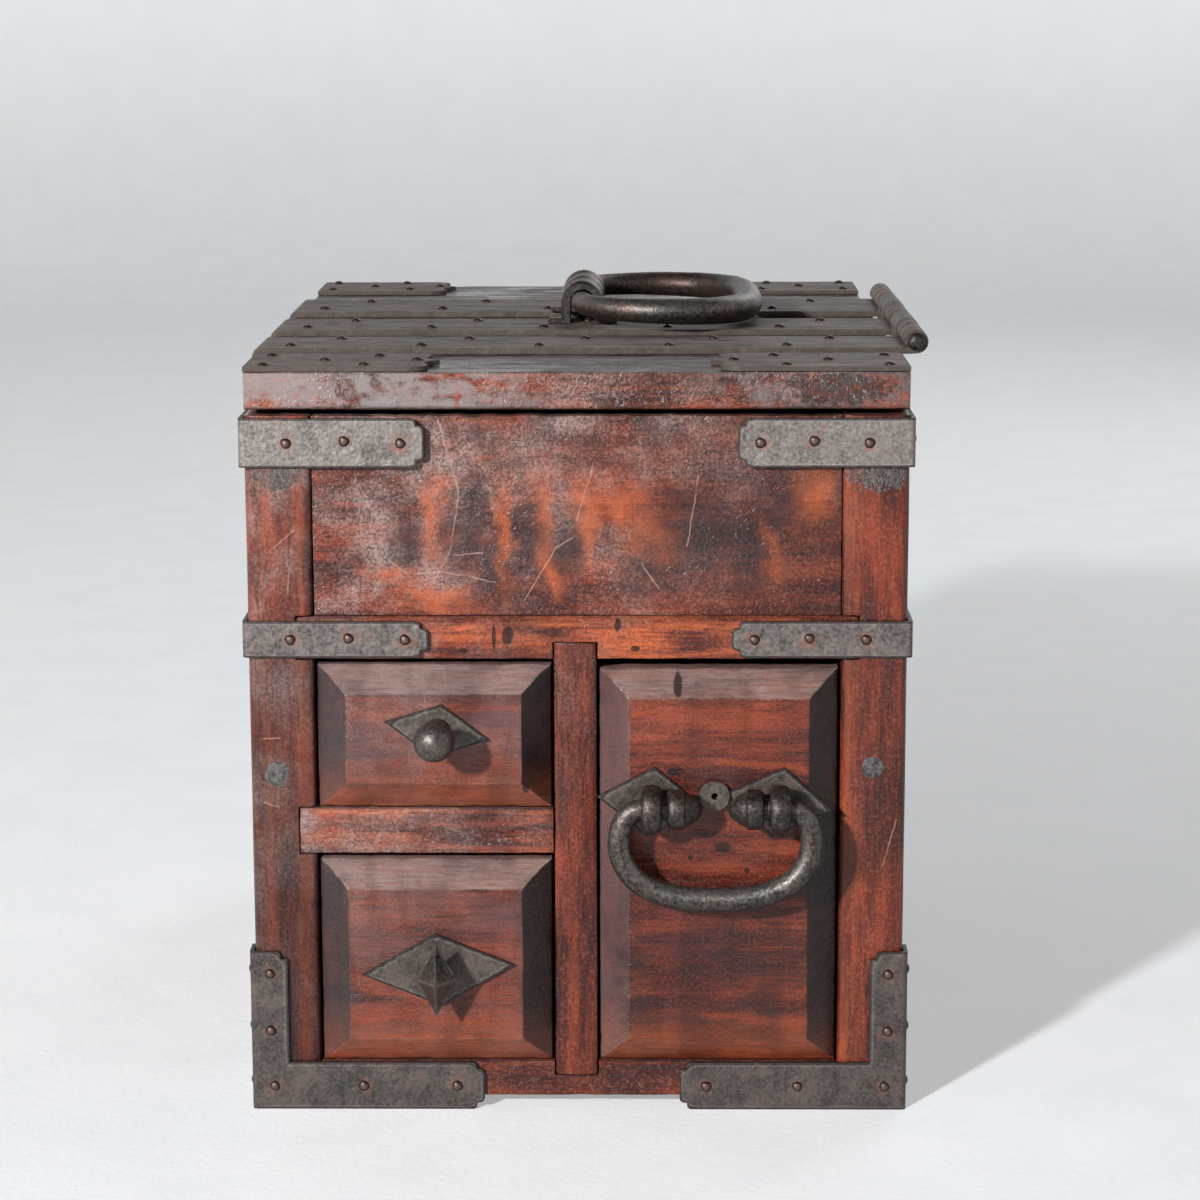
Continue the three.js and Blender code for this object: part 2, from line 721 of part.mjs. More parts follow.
// The case's half of the hinge: a plate on the right side that rises between the lid's knuckles
function hingeCaseLeaf() {
  const front = lidStraps[0].front + leafLead;
  const back = lidStraps[2].back - leafLead;
  const inner = halfWidth + seam;
  const outer = inner + leafThickness;
  const bottom = hingeZ - leafDrop;
  const top = lidBottom + lidThickness / 2;
  const bore = hingePinRadius + slack;
  let leaf = block(inner, outer, front, back, bottom, top);
  for (const [before, after] of [[lidStraps[0], lidStraps[1]], [lidStraps[1], lidStraps[2]]]) {
    const start = before.back + knuckleGap;
    const end = after.front - knuckleGap;
    leaf = leaf.add(block(inner, outer, start, end, bottom, hingeZ));
    leaf = leaf.add(cylinder(knuckleRadius, end - start, turnedSides, facing.front, hingeX, end, hingeZ));
    const past = end - start + 2 * overrun;
    leaf = leaf.subtract(cylinder(bore, past, turnedSides, facing.front, hingeX, end + overrun, hingeZ));
  }
  const nailRow = (bottom + caseTop) / 2;
  for (const share of leafNailShares) {
    leaf = leaf.add(nail(facing.right, outer, front + share * (back - front), nailRow));
  }
  add('hinge_case_leaf', leaf, iron);
}

function hingePin() {
  const length = lidStraps[2].back - lidStraps[0].front + 2 * slack;
  const profile = [
    [0, -hingeHeadHeight],
    [hingeHeadRadius * 0.7, -hingeHeadHeight * 0.7],
    [hingeHeadRadius, 0],
    [hingePinRadius, 0],
    [hingePinRadius, length],
    [hingeHeadRadius, length],
    [hingeHeadRadius * 0.7, length + hingeHeadHeight * 0.7],
    [0, length + hingeHeadHeight],
  ];
  const start = lidStraps[2].back + slack;
  add('hinge_pin', turned(profile, turnedSides, facing.front, hingeX, start, hingeZ), iron);
}

// The carrying handle turns in a saddle that bridges the middle and rear lid straps
const handleMiddle = lidStraps[1].middle + saddleSetback;
const handleZ = strapTop + handleAxisLift;

function handleSaddle() {
  const outer = saddleBore + saddleWall;
  const start = handleMiddle + saddleLength / 2;
  const base = strapTop + seam;
  const front = start - saddleLength;
  let saddle = cylinder(outer, saddleLength, turnedSides, facing.front, 0, start, handleZ);
  saddle = saddle.add(block(-outer, outer, front, start, base, handleZ));
  const radius = outer + saddleRidge;
  for (const share of [0, 0.5, 1]) {
    const ridgeStart = start - share * (saddleLength - saddleRidgeWidth);
    const ridge = cylinder(radius, saddleRidgeWidth, turnedSides, facing.front, 0, ridgeStart, handleZ);
    saddle = saddle.add(ridge);
  }
  const past = saddleLength + 2 * overrun;
  const pastStart = start + overrun;
  saddle = saddle.subtract(cylinder(saddleBore, past, turnedSides, facing.front, 0, pastStart, handleZ));
  const gap = [-saddleBore, saddleBore, front - overrun, pastStart];
  saddle = saddle.subtract(block(...gap, base - overrun, handleZ));
  for (const side of [-1, 1]) {
    for (const end of [front, start - saddleRidgeWidth]) {
      const ends = [side * saddleBore, side * (outer + saddleFoot)].sort((a, b) => a - b);
      const foot = block(...ends, end, end + saddleRidgeWidth, base, base + saddleFootThickness);
      saddle = saddle.add(foot);
    }
  }
  add('lid_handle_saddle', saddle, iron);
}

// Shares of half the handle's width and of its reach, from the saddle round to the far middle
const handleShares = [
  [0.28, 0], [0.5, 0], [0.72, 0.05], [0.9, 0.2],
  [1, 0.45], [0.93, 0.74], [0.68, 0.93], [0.34, 0.995],
];
const handleSteps = 44;

function lidHandle() {
  const drop = handleZ - (strapTop + nailHeight + slack + handleGripRadius);
  const tilt = Math.asin(drop / handleReach);
  const reachAlong = new THREE.Vector3(Math.cos(tilt), 0, -Math.sin(tilt));
  const at = ([across, out]) => {
    const spot = new THREE.Vector3(0, handleMiddle + across * handleHalfWidth, handleZ);
    return spot.addScaledVector(reachAlong, out * handleReach);
  };
  const nearSide = handleShares.map(([across, out]) => [-across, out]);
  const farSide = [...handleShares].reverse();
  const curve = new THREE.CatmullRomCurve3([...nearSide, [0, 1], ...farSide, [0, 0]].map(at), true);
  const points = curve.getPoints(handleSteps).slice(0, handleSteps);
  const radii = points.map((point) => {
    const out = Math.min(Math.max(point.x / handleReach, 0), 1);
    return handlePivotRadius + (handleGripRadius - handlePivotRadius) * out;
  });
  const normal = new THREE.Vector3().crossVectors(reachAlong, alongY);
  add('lid_handle', rod(points, radii, normal, true), polishedIron);
}

// A diamond plate on a drawer's field, turned a little as the hand-set ones are, with its holes
function diamondPlate(name, halfLength, halfHeight, degrees, x, z, holes) {
  const shape = new THREE.Shape();
  shape.moveTo(-halfLength, 0);
  shape.lineTo(0, -halfHeight);
  shape.lineTo(halfLength, 0);
  shape.lineTo(0, halfHeight);
  const geometry = new THREE.ExtrudeGeometry(shape, { depth: diamondThickness, bevelEnabled: false });
  geometry.rotateZ(THREE.MathUtils.degToRad(degrees));
  geometry.applyMatrix4(facing.front);
  geometry.translate(x, fieldFace - seam, z);
  const plate = holes.reduce((made, hole) => made.subtract(hole), solid(geometry));
  add(name, plate, iron);
}

// The round hole that a knob's shank needs through its plate and the drawer front
function shankHole(x, z) {
  const start = drawerInnerFace + overrun;
  const length = start - plateFace + overrun;
  return cylinder(knobShankRadius + slack, length, turnedSides, facing.front, x, start, z);
}

const shankTail = slack + clenchThickness;

function ballKnob(x, z) {
  const tail = plateFace - drawerInnerFace - shankTail;
  const clench = tail + clenchThickness;
  const profile = [[0, tail], [knobShankRadius * 2, tail], [knobShankRadius * 2, clench]];
  profile.push([knobShankRadius, clench], [knobShankRadius, seam]);
  profile.push([ballNeckRadius * 1.5, seam], [ballNeckRadius * 1.3, ballStandoff * 0.14]);
  profile.push([ballNeckRadius, ballStandoff * 0.3]);
  const first = -Math.acos(ballNeckRadius / ballRadius);
  const steps = 7;
  for (let i = 0; i < steps; i += 1) {
    const turn = first + ((Math.PI / 2 - first) * i) / steps;
    profile.push([ballRadius * Math.cos(turn), ballStandoff + ballRadius * Math.sin(turn)]);
  }
  profile.push([0, ballStandoff + ballRadius]);
  add('ball_knob', turned(profile, turnedSides, facing.front, x, plateFace, z), polishedIron);
}

function pyramidKnob(x, z) {
  const at = (across, up, out) => new THREE.Vector3(x + across, plateFace - out, z + up);
  const waist = pyramidNeck / 2;
  const points = [at(0, 0, pyramidApex)];
  for (const side of [-1, 1]) {
    points.push(at(side * pyramidHalfWidth, 0, pyramidEquator));
    points.push(at(0, side * pyramidHalfHeight, pyramidEquator));
    points.push(at(side * waist, waist, pyramidNeckLength));
    points.push(at(side * waist, -waist, pyramidNeckLength));
  }
  const tail = drawerInnerFace + shankTail;
  const face = plateFace - seam;
  const neckFront = plateFace - pyramidNeckLength - overrun;
  let knob = solid(new ConvexGeometry(points));
  knob = knob.add(block(x - waist, x + waist, neckFront, face, z - waist, z + waist));
  const shankLength = tail - face + overrun;
  knob = knob.add(cylinder(knobShankRadius, shankLength, turnedSides, facing.front, x, tail, z));
  knob = knob.add(cylinder(knobShankRadius * 2, clenchThickness, turnedSides, facing.front, x, tail, z));
  add('pyramid_knob', knob, polishedIron);
}

// Shares of the drawer bail's half width and drop, from inside the acorn round to the lowest point
const bailStartShare = (acornTip + acornBack) / 2 / bailHalfWidth;
const bailShares = [
  [bailStartShare, 0], [0.5, 0], [0.64, 0], [0.76, 0], [0.88, -0.04], [0.97, -0.17],
  [1, -0.38], [0.95, -0.6], [0.8, -0.8], [0.52, -0.94], [0.26, -0.99],
];
const bailSteps = 40;

function drawerBail(x, y, z) {
  const at = (across, up) => new THREE.Vector3(x + across * bailHalfWidth, y, z + up * bailDrop);
  const left = bailShares.map(([across, up]) => at(-across, up));
  const right = bailShares.map(([across, up]) => at(across, up));
  const route = [...left, at(0, -1), ...right.reverse()];
  const points = new THREE.CatmullRomCurve3(route).getPoints(bailSteps);
  const radii = points.map((point) => {
    const down = Math.min(Math.max((z - point.z) / bailDrop, 0), 1);
    return bailEndRadius + (bailGripRadius - bailEndRadius) * Math.sqrt(down);
  });
  let bail = rod(points, radii, alongY, false);
  const length = acornBack - acornTip;
  const profile = [
    [0, acornTip],
    [acornRadius * 0.32, acornTip + length * 0.03],
    [acornRadius * 0.78, acornTip + length * 0.4],
    [acornRadius * 0.97, acornTip + length * 0.62],
    [acornRadius, acornTip + length * 0.85],
    [acornRadius * 0.9, acornBack],
    [0, acornBack],
  ];
  bail = bail.add(turned(profile, turnedSides, facing.right, x, y, z));
  bail = bail.add(turned(profile, turnedSides, facing.left, x, y, z));
  add('drawer_bail', bail, polishedIron);
}

// The square hole for an eye's shank, through its plate and the drawer front
function eyeHole(x, z) {
  const wide = shankWidth / 2 + slack;
  const high = shankHeight / 2 + slack;
  return block(x - wide, x + wide, plateFace - overrun, drawerInnerFace + overrun, z - high, z + high);
}

// An eye: a thick ring that the bail passes through, its shank clenched behind the drawer front
function bailEye(name, x, y, z) {
  const half = eyeWidth / 2;
  const mean = (eyeBore + eyeRadius) / 2;
  const profile = [
    [eyeBore, -half * 0.55],
    [mean, -half],
    [eyeRadius * 0.94, -half * 0.6],
    [eyeRadius, 0],
    [eyeRadius * 0.94, half * 0.6],
    [mean, half],
    [eyeBore, half * 0.55],
    [eyeBore, -half * 0.55],
  ];
  const tail = drawerInnerFace + shankTail;
  const wide = shankWidth / 2;
  const high = shankHeight / 2;
  let eye = turned(profile, turnedSides, facing.right, x, y, z);
  eye = eye.add(block(x - wide, x + wide, y + mean, tail, z - high, z + high));
  const clenchFront = tail - clenchThickness;
  eye = eye.add(block(x - wide - clenchReach, x + wide + clenchReach, clenchFront, tail, z - high, z + high));
  add(name, eye, polishedIron);
}

// The lock is nailed behind the tall drawer's front, and its key goes in through the round disc
function drawerLock(x, z) {
  const half = lockWidth / 2;
  const low = z - lockHeight / 2;
  const front = drawerInnerFace + seam;
  const radii = [lockRound, lockRound, lockRound, lockRound];
  const outline = roundedOutline(x - half, low, x + half, low + lockHeight, radii);
  add('drawer_lock', slab(outline, lockThickness, facing.front, 0, front + lockThickness, 0), iron);
}

// The disc lies over the inner tips of the two bail plates
function keyholeDisc(x, z) {
  const face = plateFace - seam;
  const disc = cylinder(keyDiscRadius, keyDiscThickness, turnedSides, facing.front, x, face, z);
  add('keyhole_disc', disc.subtract(keyhole(x, z)), iron);
}

function keyhole(x, z) {
  const start = drawerInnerFace + overrun;
  const length = start - plateFace + overrun;
  return cylinder(keyholeRadius, length, nailSides, facing.front, x, start, z);
}

function upperDrawer() {
  const opening = { left: -openingHalf, right: dividerLeft, bottom: drawerRailTop, top: middleRailBottom };
  const x = (opening.left + opening.right) / 2 + ballOffset;
  const z = (opening.bottom + opening.top) / 2 + ballRise;
  drawer('upper_drawer', opening, drawerGap, [shankHole(x, z)]);
  const half = [ballPlateHalfLength, ballPlateHalfHeight];
  diamondPlate('ball_knob_plate', ...half, ballPlateTurn, x, z, [shankHole(x, z)]);
  ballKnob(x, z);
}

function lowerDrawer() {
  const opening = { left: -openingHalf, right: dividerLeft, bottom: bottomRailTop, top: drawerRailBottom };
  const x = (opening.left + opening.right) / 2 + pyramidOffset;
  const z = (opening.bottom + opening.top) / 2 + pyramidRise;
  drawer('lower_drawer', opening, drawerGap, [shankHole(x, z)]);
  const half = [pyramidPlateHalfLength, pyramidPlateHalfHeight];
  diamondPlate('pyramid_knob_plate', ...half, pyramidPlateTurn, x, z, [shankHole(x, z)]);
  pyramidKnob(x, z);
}

function tallDrawer() {
  const opening = { left: dividerRight, right: openingHalf, bottom: bottomRailTop, top: middleRailBottom };
  const x = (opening.left + opening.right) / 2 + bailOffset;
  const y = fieldFace - bailStandoff;
  const z = (opening.bottom + opening.top) / 2 + bailRise;
  const keyZ = z + keyDiscRise;
  const leftX = x - eyeCentre;
  const rightX = x + eyeCentre;
  const holes = [eyeHole(leftX, z), eyeHole(rightX, z), keyhole(x, keyZ)];
  const half = [bailPlateHalfLength, bailPlateHalfHeight];
  drawer('tall_drawer', opening, tallDrawerTopGap, holes);
  diamondPlate('left_bail_plate', ...half, leftPlateTurn, leftX, z, [eyeHole(leftX, z)]);
  diamondPlate('right_bail_plate', ...half, rightPlateTurn, rightX, z, [eyeHole(rightX, z)]);
  bailEye('left_bail_eye', leftX, y, z);
  bailEye('right_bail_eye', rightX, y, z);
  drawerBail(x, y, z);
  keyholeDisc(x, keyZ);
  drawerLock(x, keyZ);
}

frontPost('left_front_post', -1);
frontPost('right_front_post', 1);
middleRail();
bottomRail();
frontPanel();
drawerDivider();
drawerShelf();
bottomBoard();
compartmentFloor();
sideBoards();
backBoard();
upperDrawer();
lowerDrawer();
tallDrawer();
cornerStraps();
footBrackets();
lidBoard();
lidCornerPlates();
for (const strap of lidStraps) lidStrap(strap);
hingeCaseLeaf();
hingePin();
handleSaddle();
lidHandle();

const bounds = new THREE.Box3().setFromObject(chest);
const centre = bounds.getCenter(new THREE.Vector3());
chest.position.set(-centre.x, -centre.y, -bounds.min.z);

export default chest;
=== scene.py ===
import json
import math
import random

import bmesh
import bpy
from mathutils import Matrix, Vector, noise
from mathutils.kdtree import KDTree


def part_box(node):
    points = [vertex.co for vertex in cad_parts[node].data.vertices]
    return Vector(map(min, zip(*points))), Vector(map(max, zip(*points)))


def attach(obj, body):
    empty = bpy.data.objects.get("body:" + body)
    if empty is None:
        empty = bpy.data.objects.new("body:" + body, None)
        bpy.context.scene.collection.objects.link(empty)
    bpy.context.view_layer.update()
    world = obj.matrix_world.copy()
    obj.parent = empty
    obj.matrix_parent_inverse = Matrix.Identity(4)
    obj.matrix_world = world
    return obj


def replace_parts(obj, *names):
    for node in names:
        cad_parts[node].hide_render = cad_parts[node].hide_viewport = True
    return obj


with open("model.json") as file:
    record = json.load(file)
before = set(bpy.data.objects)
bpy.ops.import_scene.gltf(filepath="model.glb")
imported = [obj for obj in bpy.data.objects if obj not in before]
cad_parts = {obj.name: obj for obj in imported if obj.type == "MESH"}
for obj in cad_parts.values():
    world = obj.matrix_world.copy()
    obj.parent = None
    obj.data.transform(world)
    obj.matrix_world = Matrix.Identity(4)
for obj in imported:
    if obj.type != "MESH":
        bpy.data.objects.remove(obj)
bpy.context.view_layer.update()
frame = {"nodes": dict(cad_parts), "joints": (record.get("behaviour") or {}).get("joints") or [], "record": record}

# The case's outside boards: two sides and a back of red-brown lacquered softwood, planed by hand and
# butted behind the front posts. Their arrises are rubbed round and paler, and the faces are stained.

MM = 0.001
BODY_OF = {
    node: body
    for body, nodes in frame["record"]["behaviour"]["bodies"].items()
    for node in nodes
}


def corners(node):
    """A node's lowest and highest corners, in millimetres."""
    low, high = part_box(node)
    return low / MM, high / MM


def rgb(red, green, blue):
    """A colour from a 0 to 255 chart, as the linear values that a shader takes."""
    levels = [level / 255 for level in (red, green, blue)]
    return [v / 12.92 if v <= 0.04045 else ((v + 0.055) / 1.055) ** 2.4 for v in levels] + [1.0]


class Field:
    """What varies over a surface: a socket of its material. Sums and products add Math nodes."""

    def __init__(self, socket):
        self.socket = socket

    def node(self, kind, settings, inputs, output=0):
        tree = self.socket.id_data
        made = tree.nodes.new(kind)
        for name, setting in settings.items():
            setattr(made, name, setting)
        for name, value in inputs.items():
            if isinstance(value, Field):
                tree.links.new(value.socket, made.inputs[name])
            else:
                made.inputs[name].default_value = value
        return Field(made.outputs[output]) if made.outputs else None

    def math(self, operation, *values):
        return self.node("ShaderNodeMath", {"operation": operation}, dict(enumerate(values)))

    def __add__(self, other):
        return self.math("ADD", self, other)

    def __sub__(self, other):
        return self.math("SUBTRACT", self, other)

    def __rsub__(self, other):
        return self.math("SUBTRACT", other, self)

    def __mul__(self, other):
        return self.math("MULTIPLY", self, other)

    __radd__ = __add__
    __rmul__ = __mul__

    def __neg__(self):
        return self * -1

    def __abs__(self):
        return self.math("ABSOLUTE", self)

    def root(self):
        return self.math("SQRT", self)

    def at_most(self, other):
        return self.math("MINIMUM", self, other)

    def at_least(self, other):
        return self.math("MAXIMUM", self, other)

    def between(self, low, high):
        """0 where this is below low and 1 above high, with a soft change between them."""
        soft = {"interpolation_type": "SMOOTHSTEP"}
        return self.node("ShaderNodeMapRange", soft, {"Value": self, "From Min": low, "From Max": high})

    def part(self, axis):
        return self.node("ShaderNodeSeparateXYZ", {}, {"Vector": self}, output=axis)

    def times(self, stretch):
        return self.node("ShaderNodeVectorMath", {"operation": "MULTIPLY"}, {0: self, 1: stretch})

    def moved(self, shift):
        return self.node("ShaderNodeVectorMath", {"operation": "ADD"}, {0: self, 1: shift})

    def cloudy(self, size, detail=3, roughness=0.5, distortion=0):
        """Cloudy noise whose patches are about size across, in this place's own units."""
        values = {"Vector": self, "Scale": 1 / size, "Detail": detail}
        values |= {"Roughness": roughness, "Distortion": distortion}
        return self.node("ShaderNodeTexNoise", {}, values)

    def laid_over(self, under, over):
        """The colour under, covered by the colour over where this mask is 1."""
        return self.node("ShaderNodeMix", {"data_type": "RGBA"}, {0: self, 6: under, 7: over}, output=2)

    def attribute(self, name):
        return self.node("ShaderNodeAttribute", {"attribute_name": name}, {}, output="Fac")


def new_finish(name):
    """An empty material and the place on the piece in millimetres."""
    material = bpy.data.materials.new(name)
    material.use_nodes = True
    material.node_tree.nodes.clear()
    coordinates = material.node_tree.nodes.new("ShaderNodeTexCoord")
    return material, Field(coordinates.outputs["Object"]).times((1000, 1000, 1000))


def seal(colour, roughness, height, relief, metallic=0.0, gloss=0.5):
    """Ends a material in its one shader; relief is how deep the height's 0 to 1 is, in millimetres."""
    bump = height.node("ShaderNodeBump", {}, {"Height": height, "Distance": relief * MM}, output="Normal")
    values = {"Base Color": colour, "Roughness": roughness, "Metallic": metallic, "Normal": bump}
    values["Specular IOR Level"] = gloss
    shader = colour.node("ShaderNodeBsdfPrincipled", {}, values)
    shader.node("ShaderNodeOutputMaterial", {}, {"Surface": shader})


ALONG = {"x": (0.09, 1, 1), "y": (1, 0.09, 1), "z": (1, 1, 0.09)}
LOOSELY = {"x": (0.4, 1, 1), "y": (1, 0.4, 1), "z": (1, 1, 0.4)}
DEEP_RED = rgb(52, 18, 14)
RED = rgb(112, 41, 29)
GLOW = rgb(192, 96, 52)
STAIN = rgb(22, 11, 10)
GREY_BLOOM_AND_SHEEN = rgb(150, 130, 124)
RUBBED_PALE_AND_GLINTS = rgb(196, 132, 108)
GLOSS = 0.34


def facing(place, axis):
    """How far the surface looks along an axis, from -1 to 1."""
    return place.node("ShaderNodeTexCoord", {}, {}, output="Normal").part(axis)


def lacquer(name, grain, shift=(0, 0, 0), glow=0.5, stain=0.7, bloom_and_sheen_strength=0.5, crazed=0.4, marks=None):
    """Worn lacquer over wood whose grain runs along one axis: red, smudged dark, bloomed grey. The grey is
    real bloom and also a painted sheen, stronger on upward faces and towards the upper left where the
    lamp is, and its pale grit specks and crinkles are partly painted glints.

    glow, stain and the grey's strength are how strong its orange, dark and grey places are, crazed how
    wrinkled it is, and marks a function that adds one piece's own marks.
    """
    material, front = new_finish(name)
    place = front.moved(shift)
    boards = place.times(ALONG[grain])
    loose = place.times(LOOSELY[grain])
    fibres = boards.cloudy(1.3, 3, 0.6)
    bands = boards.cloudy(7, 4, 0.5, 0.5)
    clouds = loose.cloudy(22, 4, 0.55)
    smudges = loose.moved((31, 17, 5)).cloudy(18, 4, 0.5)
    grime = place.moved((7, 91, 43)).cloudy(60, 4, 0.6)
    grit = place.cloudy(1.25, 1, 0.6)
    crinkle = place.cloudy(2.0, 2, 0.5, 1.0)
    crinkled = place.moved((80, 2, 61)).cloudy(28, 3, 0.6).between(0.42, 0.6)
    tone = bands * 0.4 + clouds * 0.3 + fibres * 0.3
    colour = tone.between(0.36, 0.62).laid_over(DEEP_RED, RED)
    glowing = (clouds * 0.4 + bands * 0.6 + grime * 0.3).between(0.56, 0.8)
    colour = (glowing * (0.2 + fibres * 1.2) * glow).laid_over(colour, GLOW)
    smudged = (smudges * 0.7 + grime * 0.5).between(0.52, 0.8)
    colour = (smudged * stain).laid_over(colour, STAIN)
    # A painted sheen: the grey grows upwards and to the left, towards the lamp, as a reflection over the bloom.
    sheen_toward_lamp = front.part(2) * (1 / 240) - front.part(0) * (1 / 220) - 0.5
    sheen_toward_lamp = sheen_toward_lamp.at_least(0.06).at_most(1)
    # Upward faces are painted greyer: a sheen of light from above, over the bloom.
    top_face_sheen = facing(front, 2).between(0.3, 0.9)
    bloom_and_sheen_mask = place.moved((63, 5, 29)).cloudy(26, 5, 0.62).between(0.34, 0.7) * sheen_toward_lamp + top_face_sheen * 0.25
    # The grey is speckled by the crinkles and grit as painted glints.
    speckled_glints = crinkle.between(0.36, 0.62) * 0.6 * crazed + grit.between(0.38, 0.62) * 0.5
    bloom_and_sheen_mask = bloom_and_sheen_mask * bloom_and_sheen_strength * (1 - smudged * 0.6) * (fibres * 0.5 + speckled_glints + (0.45 - 0.3 * crazed))
    bloom_and_sheen_mask = bloom_and_sheen_mask.at_most(0.85)
    colour = bloom_and_sheen_mask.laid_over(colour, GREY_BLOOM_AND_SHEEN)
    pores = boards.moved((3, 3, 3)).cloudy(0.9, 2, 0.5).between(0.58, 0.7)
    specks = (1 - grit.between(0.34, 0.5)) * (0.2 + 0.3 * crazed)
    colour = (pores * 0.45 + specks).laid_over(colour, STAIN)
    # Pale grit specks: painted glints of the lamp, with a little real rubbing.
    colour = (grit.between(0.52, 0.68) * (0.08 + 0.16 * crazed)).laid_over(colour, RUBBED_PALE_AND_GLINTS)
    scuffs = place.cloudy(2.4, 4, 0.7)
    wear = place.attribute("wear")
    colour = ((wear * 0.5 + scuffs).between(0.78, 1.05) * 0.75).laid_over(colour, STAIN)
    arris = (wear + scuffs * 1.2 - 0.6).between(0.7, 1.05) * clouds.between(0.46, 0.6)
    colour = (arris * 0.4).laid_over(colour, RUBBED_PALE_AND_GLINTS)
    wrinkles = crinkle * (0.06 + crinkled * 1.5) * crazed
    height = fibres * 0.22 + wrinkles + grit * (0.08 + 0.17 * crazed) - pores * 0.15
    roughness = 0.22 + bloom_and_sheen_mask * 0.15 + fibres * 0.12 + arris * 0.15
    if marks:
        colour, height, roughness = marks(front, colour, height, roughness)
    seal(colour, roughness, height, 0.7, gloss=GLOSS)
    return material


def turn_outward(shape):
    """Points the faces of every closed shell away from its inside."""
    bmesh.ops.recalc_face_normals(shape, faces=shape.faces)
    left = set(shape.faces)
    while left:
        shell = [left.pop()]
        for face in shell:
            for edge in face.edges:
                for beside in edge.link_faces:
                    if beside in left:
                        left.remove(beside)
                        shell.append(beside)
        if sum(face.calc_center_median().dot(face.normal) * face.calc_area() for face in shell) < 0:
            bmesh.ops.reverse_faces(shape, faces=shell)


def finish_piece(shape, name, node, materials, crease=32):
    """The worked mesh, in millimetres, as a piece that rides with its node's body."""
    bmesh.ops.dissolve_degenerate(shape, dist=0.002, edges=shape.edges)
    turn_outward(shape)
    bmesh.ops.scale(shape, vec=(MM, MM, MM), verts=shape.verts)
    data = bpy.data.meshes.new(name)
    shape.to_mesh(data)
    shape.free()
    data.shade_smooth()
    data.set_sharp_from_angle(angle=math.radians(crease))
    for material in materials:
        data.materials.append(material)
    made = bpy.data.objects.new(name, data)
    bpy.context.scene.collection.objects.link(made)
    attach(made, BODY_OF[node])
    return made


def stand_for(node, shape, materials, crease=32, way="forged"):
    """The worked mesh, in millimetres, as the piece that takes the node's place."""
    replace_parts(finish_piece(shape, f"{node}_{way}", node, materials, crease), node)


def stations(low, high, pitch, near=(0.9, 2.4)):
    """Where a length is cut across: close together near its ends and pitch apart between them."""
    inner = max(int((high - low - 2 * near[-1]) / pitch), 1)
    first, last = low + near[-1], high - near[-1]
    middle = [first + (last - first) * step / inner for step in range(inner + 1)]
    return sorted([low + near[0], high - near[0]] + middle) if last - first > 1 else []


def slice_up(shape, axis, places):
    normal = Vector([float(index == axis) for index in range(3)])
    for place in places:
        geometry = shape.verts[:] + shape.edges[:] + shape.faces[:]
        bmesh.ops.bisect_plane(shape, geom=geometry, dist=1e-4, plane_co=normal * place, plane_no=normal)


WORN_REACH = 2.8
ROUNDED_DEPTH = 8
TOP_REACH = 5


def planed(node, material, edge=0.8, pitch=5.0, uneven=0.28, chips=0.5, round_off=None, top_lost=0):
    """The frame's own solid as worked wood or forged stock: arrises rubbed, faces not quite flat.

    round_off is the axis across which the front is planed round, and how deep at its edges, and
    top_lost is how much of the upper edge is chipped and rubbed away.
    """
    shape = bmesh.new()
    shape.from_mesh(frame["nodes"][node].data)
    bmesh.ops.scale(shape, vec=(1 / MM, 1 / MM, 1 / MM), verts=shape.verts)
    bmesh.ops.remove_doubles(shape, verts=shape.verts, dist=0.003)
    bmesh.ops.dissolve_limit(shape, angle_limit=0.01, verts=shape.verts, edges=shape.edges)
    arrises = [e for e in shape.edges if len(e.link_faces) == 2 and e.calc_face_angle() > 0.6]
    samples = []
    for arris in arrises:
        start, end = (vert.co.copy() for vert in arris.verts)
        steps = max(int((end - start).length), 1)
        samples += [start.lerp(end, step / steps) for step in range(steps + 1)]
    worn = KDTree(len(samples))
    for index, sample in enumerate(samples):
        worn.insert(sample, index)
    worn.balance()
    bmesh.ops.bevel(
        shape, geom=arrises, offset=edge, offset_type="OFFSET", segments=2, profile=0.6,
        affect="EDGES", clamp_overlap=True,
    )
    low, high = corners(node)
    for axis in range(3):
        if high[axis] - low[axis] > 2 * pitch:
            slice_up(shape, axis, stations(low[axis], high[axis], pitch))
    shape.normal_update()
    wear = shape.verts.layers.float.new("wear")
    shifts = []
    for vert in shape.verts:
        near = max(1 - worn.find(vert.co)[2] / WORN_REACH, 0)
        vert[wear] = near
        sag = uneven * (0.5 + 0.5 * noise.noise(vert.co / 38))
        chip = chips * near * max(noise.noise(vert.co / 4.5 + Vector((9, 2, 5))), 0)
        shift = vert.normal * (sag + chip)
        if round_off:
            axis, depth = round_off
            off_middle = abs(2 * vert.co[axis] - low[axis] - high[axis]) / (high[axis] - low[axis])
            front = max(1 - (vert.co.y - low.y) / ROUNDED_DEPTH, 0)
            shift.y -= depth * off_middle ** 3 * front
        if top_lost:
            near_top = max((vert.co.z - high.z) / TOP_REACH + 1, 0)
            coarse = noise.noise(Vector((vert.co.x / 7, 0, 4)))
            fine = noise.noise(Vector((vert.co.x / 2.6, 5, 0)))
            shift.z += top_lost * near_top * (1 + 0.3 * (coarse + fine))
        shifts.append(shift)
    for vert, shift in zip(shape.verts, shifts):
        vert.co -= shift
    stand_for(node, shape, [material], way="worked")


side_lacquer = lacquer(
    "side_board_lacquer", "y", shift=(40, 0, 11), glow=0.3, stain=0.8, bloom_and_sheen_strength=0.6, crazed=0.3,
)
for board in ("left_side_board", "right_side_board"):
    planed(board, side_lacquer, pitch=10)
back_lacquer = lacquer("back_board_lacquer", "x", shift=(0, 20, 70), glow=0.15, stain=0.9, bloom_and_sheen_strength=0.45)
planed("back_board", back_lacquer, pitch=10)

# The boards inside: the case's bottom, and the floor of the compartment under the lid. Both are bare
# planed softwood with the grain running from side to side, gone brown with age.

BARE = rgb(150, 112, 78)
BARE_DARK = rgb(104, 72, 50)
BARE_PALE = rgb(182, 146, 108)


